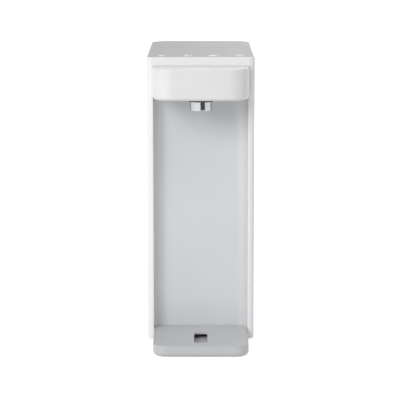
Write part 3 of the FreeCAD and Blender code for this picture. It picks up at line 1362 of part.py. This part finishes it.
def inlet_hose():
    """Straight hose from the dock's port to the pump's cover."""
    start = PUMP_FRONT + PUMP_LENGTH + PUMP_COVER_WALL + SPIGOT_LENGTH - HOSE_GRIP
    tube = rod(HOSE_R, (0, start, PUMP_AXIS_Z), (0, port_spigot_y() + HOSE_GRIP, PUMP_AXIS_Z))
    return tube.cut(rod(HOSE_BORE_R, (0, 0, PUMP_AXIS_Z), (0, FAR, PUMP_AXIS_Z)))


def feed_hose():
    """Hose from the pump's outlet up into the heater's lower cap."""
    x, y = heater_place()
    mid = pump_outlet_y()
    spigot_foot = HEATER_FOOT - CAP_HEIGHT - SPIGOT_LENGTH
    turn_z = spigot_foot - FEED_DROP
    start = (PUMP_OUTLET_X, mid, PUMP_OUTLET_TOP - HOSE_GRIP)
    end = (x, y, spigot_foot + HOSE_GRIP)
    return hose([start, (PUMP_OUTLET_X, mid, turn_z), (x, y, turn_z), end], FEED_BEND_R)


def hot_hose():
    """Hose from the heater's upper cap to the outlet chamber in the head."""
    x, y = heater_place()
    start = (x, y, HEATER_TOP + CAP_HEIGHT + SPIGOT_LENGTH - HOSE_GRIP)
    end = (0, LINER_BACK + FIT_GAP, SPOUT_INLET_Z)
    return hose([start, (x, y, SPOUT_INLET_Z), end], HOT_BEND_R)


def power_board():
    """Power board with its transformer, relays, capacitors and heat sink standing towards the front."""
    face = BOARD_FACE - BOARD_THICKNESS
    board = centred(BOARD_WIDTH, face, BOARD_FACE, BOARD_FOOT, BOARD_FOOT + BOARD_HEIGHT)
    reach = face - LINER_BACK - BOARD_ROOM
    parts = []
    for x, z, width, height in (TRANSFORMER, RELAY, SECOND_RELAY, HEAT_SINK):
        part = centred(width, face - reach, face + MERGE, BOARD_FOOT + z, BOARD_FOOT + z + height)
        part.translate(Vector(x, 0, 0))
        parts.append(part)
    for x, z in CAPACITORS:
        parts.append(rod(CAPACITOR_R, (x, face - reach, BOARD_FOOT + z), (x, face + MERGE, BOARD_FOOT + z)))
    holes = [rod(SCREW_R + SCREW_HOLE_GAP, (x, 0, z), (x, FAR, z)) for x, z in board_posts()]
    return joined([board] + parts).cut(holes)


def board_screws():
    face = BOARD_FACE - BOARD_THICKNESS
    return Part.makeCompound([screw((x, face, z), (0, 1, 0), BOARD_SCREW_LENGTH) for x, z in board_posts()])


def ribbon_cable():
    """Flat cable from the power board up to the touch board."""
    half = RIBBON_THICKNESS / 2
    foot = BOARD_FOOT + BOARD_HEIGHT - RIBBON_OVERLAP
    top = TOUCH_BOARD_TOP - BOARD_THICKNESS - RIBBON_GAP
    low_y = BOARD_FACE + RIBBON_GAP + half
    high_y = TOUCH_BOARD_SETBACK + TOUCH_BOARD_DEPTH - RIBBON_INSET
    low_bend, high_bend = (top - drop for drop in RIBBON_BENDS)
    stops = ((low_y, foot), (low_y, low_bend), (high_y, high_bend), (high_y, top))
    lane = [Vector(0, y, z) for y, z in stops]
    left = [p + Vector(RIBBON_X, -half, 0) for p in lane]
    right = [p + Vector(RIBBON_X, half, 0) for p in reversed(lane)]
    return Part.Face(Part.makePolygon(left + right + left[:1])).extrude(Vector(RIBBON_WIDTH, 0, 0))


NODES = {
    "outer_shell": outer_shell,
    "recess_panel": recess_panel,
    "head_shell": head_shell,
    "head_underside": head_underside,
    "head_screws": head_screws,
    "nozzle_collar": nozzle_collar,
    "nozzle": nozzle,
    "nozzle_insert": nozzle_insert,
    "outlet_chamber": outlet_chamber,
    "chamber_cover": chamber_cover,
    "control_panel": control_panel,
    "touch_board": touch_board,
    "touch_contacts": touch_contacts,
    "touch_screws": touch_screws,
    "rear_bulkhead": rear_bulkhead,
    "level_switch": level_switch,
    "tank_dock": tank_dock,
    "dock_port": dock_port,
    "dock_seal": dock_seal,
    "base_plate": base_plate,
    "base_screws": base_screws,
    "base_feet": base_feet,
    "drip_tray": drip_tray,
    "tray_cover": tray_cover,
    "water_tank": water_tank,
    "lid_pin": lid_pin,
    "tank_lid": tank_lid,
    "tank_valve_body": tank_valve_body,
    "valve_seal": valve_seal,
    "valve_poppet": valve_poppet,
    "valve_guide": valve_guide,
    "valve_spring": valve_spring,
    "tank_filter": tank_filter,
    "float_guide": float_guide,
    "level_float": level_float,
    "cord_gland": cord_gland,
    "inner_frame": inner_frame,
    "heater_tube": heater_tube,
    "heater_lower_cap": lambda: heater_cap(True),
    "heater_upper_cap": lambda: heater_cap(False),
    "heater_element": heater_element,
    "heater_clamps": heater_clamps,
    "thermostats": thermostats,
    "heater_sensor": heater_sensor,
    "pump_housing": pump_housing,
    "pump_cover": pump_cover,
    "pump_rotor": pump_rotor,
    "pump_motor": pump_motor,
    "pump_mount": pump_mount,
    "inlet_hose": inlet_hose,
    "feed_hose": feed_hose,
    "hot_hose": hot_hose,
    "power_board": power_board,
    "board_screws": board_screws,
    "ribbon_cable": ribbon_cable,
}

os.makedirs("parts", exist_ok=True)
for name, make in NODES.items():
    shape = make()
    shape.translate(Vector(0, -MIDDLE_DEPTH, 0))
    shape.exportStep("parts/" + name + ".step")
    volume = shape.Volume / 1000
    print("%-18s %d solids, %.1f cm3, valid %s" % (name, len(shape.Solids), volume, shape.isValid()))
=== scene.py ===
import json
import math

import bmesh
import bpy
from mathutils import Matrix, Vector


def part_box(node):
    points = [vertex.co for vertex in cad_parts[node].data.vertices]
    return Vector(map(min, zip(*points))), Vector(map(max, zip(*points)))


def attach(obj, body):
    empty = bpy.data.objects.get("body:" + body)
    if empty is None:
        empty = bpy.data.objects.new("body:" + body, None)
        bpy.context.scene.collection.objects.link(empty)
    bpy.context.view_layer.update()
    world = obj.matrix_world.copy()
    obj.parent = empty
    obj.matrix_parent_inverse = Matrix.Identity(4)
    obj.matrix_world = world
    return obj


# Looks of a slim countertop hot water dispenser, in its own frame. Lengths are in metres.
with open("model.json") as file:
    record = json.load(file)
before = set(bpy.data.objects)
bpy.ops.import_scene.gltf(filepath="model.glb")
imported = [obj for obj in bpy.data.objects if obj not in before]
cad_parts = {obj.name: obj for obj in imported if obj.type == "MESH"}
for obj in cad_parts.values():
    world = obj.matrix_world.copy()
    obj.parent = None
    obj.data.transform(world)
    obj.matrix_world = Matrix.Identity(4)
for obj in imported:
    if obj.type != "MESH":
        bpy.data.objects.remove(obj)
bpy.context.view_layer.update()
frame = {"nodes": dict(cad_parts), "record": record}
nodes = frame["nodes"]
scene = bpy.context.scene

MM = 0.001

# The photograph's camera: how far it stood from the casing's front, how high, and its lens
CAMERA_DISTANCE = 2.0
CAMERA_HEIGHT = 0.499
CAMERA_SIDE = -0.0009
CAMERA_PITCH = math.radians(9.39)
FOCAL_PIXELS = 1725.0
IMAGE_PIXELS = 400.0
SENSOR = 36.0
CAMERA_SEES_TO = 50.0

# Two soft lamps, each with its place, its width and height, and its watts
LAMP_TARGET = (0.0, -0.05, 0.2)
KEY_LAMP = ((-1.25, -1.8, 1.25), (1.1, 1.1), 24.8)
REAR_LAMP = ((0.6, 1.9, 1.0), (1.4, 1.2), 7.0)

# Dark card that polished metal mirrors, to the right of the camera
CARD_ANGLE = math.radians(21.0)
CARD_DISTANCE = 1.1
CARD_WIDTH = 1.0
CARD_LOW, CARD_HIGH = 0.02, 0.9
CARD_CUTS = 3

# White studio: a floor and a world that the camera, metal and clear plastic see as white
FLOOR_SIZE = 30.0
FLOOR_SQUARES = 8
FLOOR_COLOUR = (0.80, 0.80, 0.80, 1)
FLOOR_ROUGHNESS = 0.9
FLOOR_GLOW = 0.62
WORLD_STRENGTH = 0.60
WHITE = (1, 1, 1, 1)

# Marks on the touch keys: how far they stand proud, how deep the print is set in, and their places
ICON_PROUD = 0.02 * MM
ICON_DEEP = 0.2 * MM
ICON_SHIFT = 2.0 * MM
BAR_SHIFT = 12.0 * MM

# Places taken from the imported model
contacts_low, contacts_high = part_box("touch_contacts")
FRONT_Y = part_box("outer_shell")[0].y
TOP_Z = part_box("control_panel")[1].z
KEY_COUNT = 4
KEY_Y = (contacts_low.y + contacts_high.y) / 2
KEY_R = (contacts_high.y - contacts_low.y) / 2
KEY_FIRST = contacts_low.x + KEY_R
KEY_PITCH = (contacts_high.x - contacts_low.x - 2 * KEY_R) / (KEY_COUNT - 1)


def new_object(name, mesh_builder, material, body):
    """Makes an object from a bmesh builder, gives it a material, and lets it ride on its body."""
    mesh = bpy.data.meshes.new(name)
    bm = bmesh.new()
    mesh_builder(bm)
    bmesh.ops.recalc_face_normals(bm, faces=bm.faces)
    bm.to_mesh(mesh)
    bm.free()
    piece = bpy.data.objects.new(name, mesh)
    scene.collection.objects.link(piece)
    mesh.materials.append(material)
    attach(piece, body)
    return piece


class Shader:
    """A material's node tree, with short calls for the nodes that the finishes here use."""

    def __init__(self, name):
        self.material = bpy.data.materials.new(name)
        self.material.use_nodes = True
        self.tree = self.material.node_tree
        self.bsdf = self.tree.nodes["Principled BSDF"]
        self.place = self.tree.nodes.new("ShaderNodeTexCoord").outputs["Object"]

    def link(self, source, target):
        self.tree.links.new(source, target)

    def set(self, **values):
        for key, value in values.items():
            self.bsdf.inputs[key.replace("_", " ")].default_value = value

    def noise(self, scale, detail=3.0, stretch=None, rough=0.55):
        node = self.tree.nodes.new("ShaderNodeTexNoise")
        node.inputs["Scale"].default_value = scale
        node.inputs["Detail"].default_value = detail
        node.inputs["Roughness"].default_value = rough
        source = self.place
        if stretch:
            mapping = self.tree.nodes.new("ShaderNodeMapping")
            mapping.inputs["Scale"].default_value = stretch
            self.link(source, mapping.inputs["Vector"])
            source = mapping.outputs["Vector"]
        self.link(source, node.inputs["Vector"])
        return node.outputs["Fac"]

    def gloss(self, source, low, high, start=0.3, end=0.7):
        """Roughness from low to high as the source goes from start to end."""
        node = self.tree.nodes.new("ShaderNodeMapRange")
        for key, value in (("From Min", start), ("From Max", end), ("To Min", low), ("To Max", high)):
            node.inputs[key].default_value = value
        self.link(source, node.inputs["Value"])
        self.link(node.outputs["Result"], self.bsdf.inputs["Roughness"])

    def colour(self, source, stops):
        """Base colour that follows the source through the stops."""
        node = self.tree.nodes.new("ShaderNodeValToRGB")
        elements = node.color_ramp.elements
        for number, (position, colour) in enumerate(stops):
            element = elements[number] if number < len(elements) else elements.new(position)
            element.position = position
            element.color = (*colour, 1.0)
        self.link(source, node.inputs["Fac"])
        self.link(node.outputs["Color"], self.bsdf.inputs["Base Color"])

    def bump(self, source, strength, distance):
        node = self.tree.nodes.new("ShaderNodeBump")
        node.inputs["Strength"].default_value = strength
        node.inputs["Distance"].default_value = distance
        self.link(source, node.inputs["Height"])
        self.link(node.outputs["Normal"], self.bsdf.inputs["Normal"])


def shade(colour, factor):
    """Lighter or darker colour, kept within white."""
    return tuple(min(1.0, c * factor) for c in colour)


def moulded(name, colour, roughness, grain=900.0, depth=0.00002, mottle=0.02, specular=0.5):
    """Injection-moulded plastic: a fine grain, slight mottling and a gloss that varies a little."""
    s = Shader(name)
    fine = s.noise(grain, 4.0)
    broad = s.noise(14.0, 2.0)
    s.colour(broad, [(0.25, shade(colour, 1 - mottle)), (0.75, shade(colour, 1 + mottle))])
    s.gloss(s.noise(60.0, 2.0, rough=0.4), roughness * 0.95, roughness * 1.06)
    s.bump(fine, 0.35, depth)
    s.set(Specular_IOR_Level=specular)
    return s.material


def polished_metal(name, colour, roughness):
    """Plated metal with faint wiping marks in its gloss."""
    s = Shader(name)
    marks = s.noise(220.0, 4.0, stretch=(1.0, 1.0, 6.0))
    s.colour(marks, [(0.2, shade(colour, 0.97)), (0.8, colour)])
    s.gloss(marks, roughness * 0.7, roughness * 1.4)
    s.set(Metallic=1.0)
    return s.material


def brushed_metal(name, colour, roughness):
    """Rolled metal with long fine lines in its colour, gloss and surface."""
    s = Shader(name)
    lines = s.noise(500.0, 3.0, stretch=(1.0, 1.0, 0.04))
    s.colour(lines, [(0.3, shade(colour, 0.86)), (0.7, colour)])
    s.gloss(lines, roughness * 0.8, roughness * 1.25)
    s.bump(lines, 0.15, 0.00002)
    s.set(Metallic=1.0)
    return s.material


def clear_plastic(name, colour, roughness):
    """Clear tank plastic with a faint haze and slow waves from moulding."""
    s = Shader(name)
    haze = s.noise(18.0, 2.0)
    s.colour(haze, [(0.2, shade(colour, 0.97)), (0.8, colour)])
    s.gloss(s.noise(90.0, 3.0), roughness * 0.6, roughness * 1.5)
    s.bump(haze, 0.03, 0.0002)
    s.set(Transmission_Weight=0.94, IOR=1.49)
    return s.material


def soft_rubber(name, colour, roughness):
    """Rubber or silicone with a fine speckle and a dull sheen."""
    s = Shader(name)
    speckle = s.noise(700.0, 4.0)
    s.colour(speckle, [(0.3, shade(colour, 0.85)), (0.7, shade(colour, 1.1))])
    s.gloss(speckle, roughness * 0.9, roughness * 1.1)
    s.bump(speckle, 0.3, 0.00003)
    return s.material


def circuit_board(name):
    """Solder mask with tracks a little lighter than the ground."""
    s = Shader(name)
    tracks = s.tree.nodes.new("ShaderNodeTexBrick")
    tracks.inputs["Scale"].default_value = 120.0
    tracks.inputs["Color1"].default_value = (0.012, 0.10, 0.035, 1)
    tracks.inputs["Color2"].default_value = (0.014, 0.115, 0.04, 1)
    tracks.inputs["Mortar"].default_value = (0.03, 0.19, 0.08, 1)
    s.link(s.place, tracks.inputs["Vector"])
    s.link(tracks.outputs["Color"], s.bsdf.inputs["Base Color"])
    s.gloss(s.noise(80.0), 0.3, 0.42)
    return s.material


def make_materials():
    return {
        "white_shell": moulded("white_shell", (0.87, 0.873, 0.873), 0.24),
        # Darker copy of the shell's white for the head: painted shade, since the head is the same
        # white plastic as the shell.
        "head_shaded_white": moulded("head_shaded_white", (0.785, 0.788, 0.788), 0.24),
        # The liner is white plastic made darker and slightly blue: painted shade of the recess.
        "liner_white": moulded("liner_white", (0.672, 0.682, 0.697), 0.18),
        "panel_grey": moulded("panel_grey", (0.395, 0.397, 0.395), 0.55, grain=1400.0, depth=0.00004),
        "tray_grey": moulded("tray_grey", (0.55, 0.557, 0.572), 0.34),
        "chrome_nozzle": polished_metal("chrome_nozzle", (0.53, 0.545, 0.565), 0.15),
        "dark_plastic": moulded("dark_plastic", (0.075, 0.076, 0.08), 0.42, mottle=0.08),
        "clear_tank": clear_plastic("clear_tank", (0.915, 0.945, 0.957), 0.04),
        "inner_plastic": moulded("inner_plastic", (0.72, 0.72, 0.70), 0.45),
        "foot_rubber": soft_rubber("foot_rubber", (0.03, 0.03, 0.03), 0.7),
        "seal_silicone": soft_rubber("seal_silicone", (0.75, 0.75, 0.72), 0.45),
        "hose_silicone": soft_rubber("hose_silicone", (0.80, 0.80, 0.78), 0.4),
        "steel": brushed_metal("steel", (0.62, 0.62, 0.63), 0.32),
        "stainless": brushed_metal("stainless", (0.66, 0.66, 0.67), 0.28),
        "circuit_green": circuit_board("circuit_green"),
        "contact_foam": soft_rubber("contact_foam", (0.10, 0.10, 0.10), 0.8),
        "base_grey": moulded("base_grey", (0.52, 0.52, 0.515), 0.5),
        "icon_print": moulded("icon_print", (0.84, 0.845, 0.85), 0.5),
    }


materials = make_materials()


def dress_cad_nodes():
    """Gives each CAD node the finish of its material slot, and the head a darker copy of the shell's
    white that paints shade onto it.
    """
    slots = {part["node"]: part["material_slot"] for part in frame["record"]["subparts"]}
    slots["head_shell"] = "head_shaded_white"
    for name, node in nodes.items():
        node.data.materials.clear()
        node.data.materials.append(materials[slots[name]])


def add_plate(bm, outline):
    """Flat print inside a closed outline in plan, set into the top panel."""
    low = [bm.verts.new((x, y, TOP_Z - ICON_DEEP)) for x, y in outline]
    high = [bm.verts.new((x, y, TOP_Z + ICON_PROUD)) for x, y in outline]
    bm.faces.new(low)
    bm.faces.new(high)
    for a in range(len(outline)):
        b = (a + 1) % len(outline)
        bm.faces.new((low[a], low[b], high[b], high[a]))


def circle_points(x, y, r, start, sweep, steps=28):
    """Points along an arc, both ends included. Angles are in degrees."""
    angles = [math.radians(start + sweep * n / steps) for n in range(steps + 1)]
    return [(x + r * math.cos(a), y + r * math.sin(a)) for a in angles]


def add_band(bm, x, y, r, width, start, sweep, steps=20):
    """Curved band of even width, as a ring's part."""
    outer = circle_points(x, y, r + width / 2, start, sweep, steps)
    inner = circle_points(x, y, r - width / 2, start, sweep, steps)
    add_plate(bm, outer + inner[::-1])


def icon_drop(bm, x, y):
    """Amount: a water drop."""
    belly = circle_points(x, y - 1.6 * MM, 4.6 * MM, start=-215.0, sweep=250.0)
    add_plate(bm, belly + [(x, y + 7.0 * MM)])


def icon_heat(bm, x, y):
    """Heat: a thermometer with three short scale lines."""
    bulb = circle_points(x - 1.5 * MM, y - 3.4 * MM, 3.0 * MM, start=122.0, sweep=296.0)
    stem = circle_points(x - 1.5 * MM, y + 5.4 * MM, 1.6 * MM, start=0.0, sweep=180.0, steps=10)
    add_plate(bm, bulb + stem)
    for step in range(3):
        level = y + (0.4 + 2.4 * step) * MM
        near, far, top = x + 1.8 * MM, x + 5.2 * MM, level + 1.1 * MM
        add_plate(bm, [(near, level), (far, level), (far, top), (near, top)])


def icon_cup(bm, x, y):
    """Pour: a cup with its handle."""
    left = x - 1.4 * MM
    half, low = 4.4 * MM, 3.2 * MM
    rim = [(left + half, y + 5.4 * MM), (left - half, y + 5.4 * MM)]
    foot = [(left - low, y - 5.4 * MM), (left + low, y - 5.4 * MM)]
    add_plate(bm, rim + foot)
    add_band(bm, left + half - 0.3 * MM, y + 0.8 * MM, 2.6 * MM, 1.2 * MM, 72.0, -150.0)


def icon_lock(bm, x, y):
    """Child lock: a padlock."""
    half = 4.6 * MM
    low, high = y - 6.0 * MM, y + 1.4 * MM
    add_plate(bm, [(x - half, low), (x + half, low), (x + half, high), (x - half, high)])
    add_band(bm, x, y + 1.5 * MM, 2.9 * MM, 1.5 * MM, 0.0, 180.0)


def icon_bar(bm, x, y):
    """Short lamp window behind each mark."""
    half, deep, r = 4.2 * MM, 2.6 * MM, 1.3 * MM
    right = circle_points(x + half, y, r, start=-90.0, sweep=180.0, steps=10)
    left = circle_points(x - half, y, r, start=90.0, sweep=180.0, steps=10)
    add_plate(bm, [(px, py + deep) for px, py in right + left])


def make_touch_icons():
    """Printed marks on the four touch keys: amount, heat, cup and child lock."""
    drawings = (icon_drop, icon_heat, icon_cup, icon_lock)
    for number, draw in enumerate(drawings):
        x = KEY_FIRST + KEY_PITCH * number

        def whole_mark(bm):
            draw(bm, x, KEY_Y + ICON_SHIFT)
            icon_bar(bm, x, KEY_Y + BAR_SHIFT)

        name = "touch_icon_%d" % (number + 1)
        new_object(name, whole_mark, materials["icon_print"], "root")


def make_camera():
    """Camera at the photograph's place and angle."""
    data = bpy.data.cameras.new("photo_camera")
    data.sensor_width = SENSOR
    data.lens = FOCAL_PIXELS / IMAGE_PIXELS * SENSOR
    data.clip_end = CAMERA_SEES_TO
    camera = bpy.data.objects.new("photo_camera", data)
    scene.collection.objects.link(camera)
    camera.location = (CAMERA_SIDE, FRONT_Y - CAMERA_DISTANCE, CAMERA_HEIGHT)
    camera.rotation_euler = (math.pi / 2 - CAMERA_PITCH, 0.0, 0.0)
    scene.camera = camera


def make_dark_card():
    """Dark card beside the camera that only polished metal mirrors."""
    low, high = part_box("nozzle")
    middle = (low + high) / 2
    mesh = bpy.data.meshes.new("dark_card")
    bm = bmesh.new()
    along = Vector((math.cos(CARD_ANGLE), math.sin(CARD_ANGLE), 0.0))
    away = Vector((math.sin(CARD_ANGLE), -math.cos(CARD_ANGLE), 0.0))
    centre = middle + away * CARD_DISTANCE
    corners = []
    for side, z in ((-1, CARD_LOW), (1, CARD_LOW), (1, CARD_HIGH), (-1, CARD_HIGH)):
        place = centre + along * side * CARD_WIDTH / 2
        corners.append(bm.verts.new((place.x, place.y, z)))
    bm.faces.new(corners)
    bmesh.ops.subdivide_edges(bm, edges=bm.edges, cuts=CARD_CUTS, use_grid_fill=True)
    bm.to_mesh(mesh)
    bm.free()
    card = bpy.data.objects.new("dark_card", mesh)
    scene.collection.objects.link(card)
    mesh.materials.append(moulded("card_grey", (0.08, 0.081, 0.085), 0.9))
    card.visible_camera = False
    card.visible_diffuse = False
    card.visible_shadow = False
    card.visible_transmission = False


def area_lamp(name, place, size, watts):
    """Rectangular lamp that faces the object."""
    data = bpy.data.lights.new(name, "AREA")
    data.shape = "RECTANGLE"
    data.size, data.size_y = size
    data.energy = watts
    lamp = bpy.data.objects.new(name, data)
    scene.collection.objects.link(lamp)
    lamp.location = place
    aim = Vector(LAMP_TARGET) - Vector(place)
    lamp.rotation_euler = aim.to_track_quat("-Z", "Y").to_euler()


def make_lights():
    area_lamp("key_left", *KEY_LAMP)
    area_lamp("rear_soft", *REAR_LAMP)
    make_dark_card()


def seen_directly(tree, strength):
    """Strength for camera rays and for rays off mirrors or through clear plastic, and 0 for others."""
    path = tree.nodes.new("ShaderNodeLightPath")
    first = tree.nodes.new("ShaderNodeMath")
    first.operation = "MAXIMUM"
    tree.links.new(path.outputs["Is Camera Ray"], first.inputs[0])
    tree.links.new(path.outputs["Is Glossy Ray"], first.inputs[1])
    second = tree.nodes.new("ShaderNodeMath")
    second.operation = "MAXIMUM"
    tree.links.new(first.outputs[0], second.inputs[0])
    tree.links.new(path.outputs["Is Transmission Ray"], second.inputs[1])
    share = tree.nodes.new("ShaderNodeMath")
    share.operation = "MULTIPLY"
    share.inputs[1].default_value = strength
    tree.links.new(second.outputs[0], share.inputs[0])
    return share.outputs[0]


def make_stage():
    """Pale floor that keeps the object's shadow, and a world that is seen as white."""
    mesh = bpy.data.meshes.new("floor")
    bm = bmesh.new()
    bmesh.ops.create_grid(bm, x_segments=FLOOR_SQUARES, y_segments=FLOOR_SQUARES, size=FLOOR_SIZE)
    bm.to_mesh(mesh)
    bm.free()
    floor = bpy.data.objects.new("floor", mesh)
    scene.collection.objects.link(floor)
    material = bpy.data.materials.new("floor_white")
    material.use_nodes = True
    tree = material.node_tree
    lit = tree.nodes["Principled BSDF"]
    lit.inputs["Base Color"].default_value = FLOOR_COLOUR
    lit.inputs["Roughness"].default_value = FLOOR_ROUGHNESS
    glow = tree.nodes.new("ShaderNodeEmission")
    tree.links.new(seen_directly(tree, FLOOR_GLOW), glow.inputs["Strength"])
    total = tree.nodes.new("ShaderNodeAddShader")
    tree.links.new(lit.outputs[0], total.inputs[0])
    tree.links.new(glow.outputs[0], total.inputs[1])
    tree.links.new(total.outputs[0], tree.nodes["Material Output"].inputs["Surface"])
    mesh.materials.append(material)

    world = bpy.data.worlds.new("studio")
    scene.world = world
    world.use_nodes = True
    tree = world.node_tree
    ambient = tree.nodes["Background"]
    ambient.inputs["Color"].default_value = WHITE
    ambient.inputs["Strength"].default_value = WORLD_STRENGTH
    white = tree.nodes.new("ShaderNodeBackground")
    white.inputs["Color"].default_value = WHITE
    white.inputs["Strength"].default_value = 1.0
    mix = tree.nodes.new("ShaderNodeMixShader")
    tree.links.new(seen_directly(tree, 1.0), mix.inputs["Fac"])
    tree.links.new(ambient.outputs[0], mix.inputs[1])
    tree.links.new(white.outputs[0], mix.inputs[2])
    tree.links.new(mix.outputs[0], tree.nodes["World Output"].inputs["Surface"])


dress_cad_nodes()
make_touch_icons()
make_camera()
make_lights()
make_stage()
scene.view_settings.view_transform = "Standard"
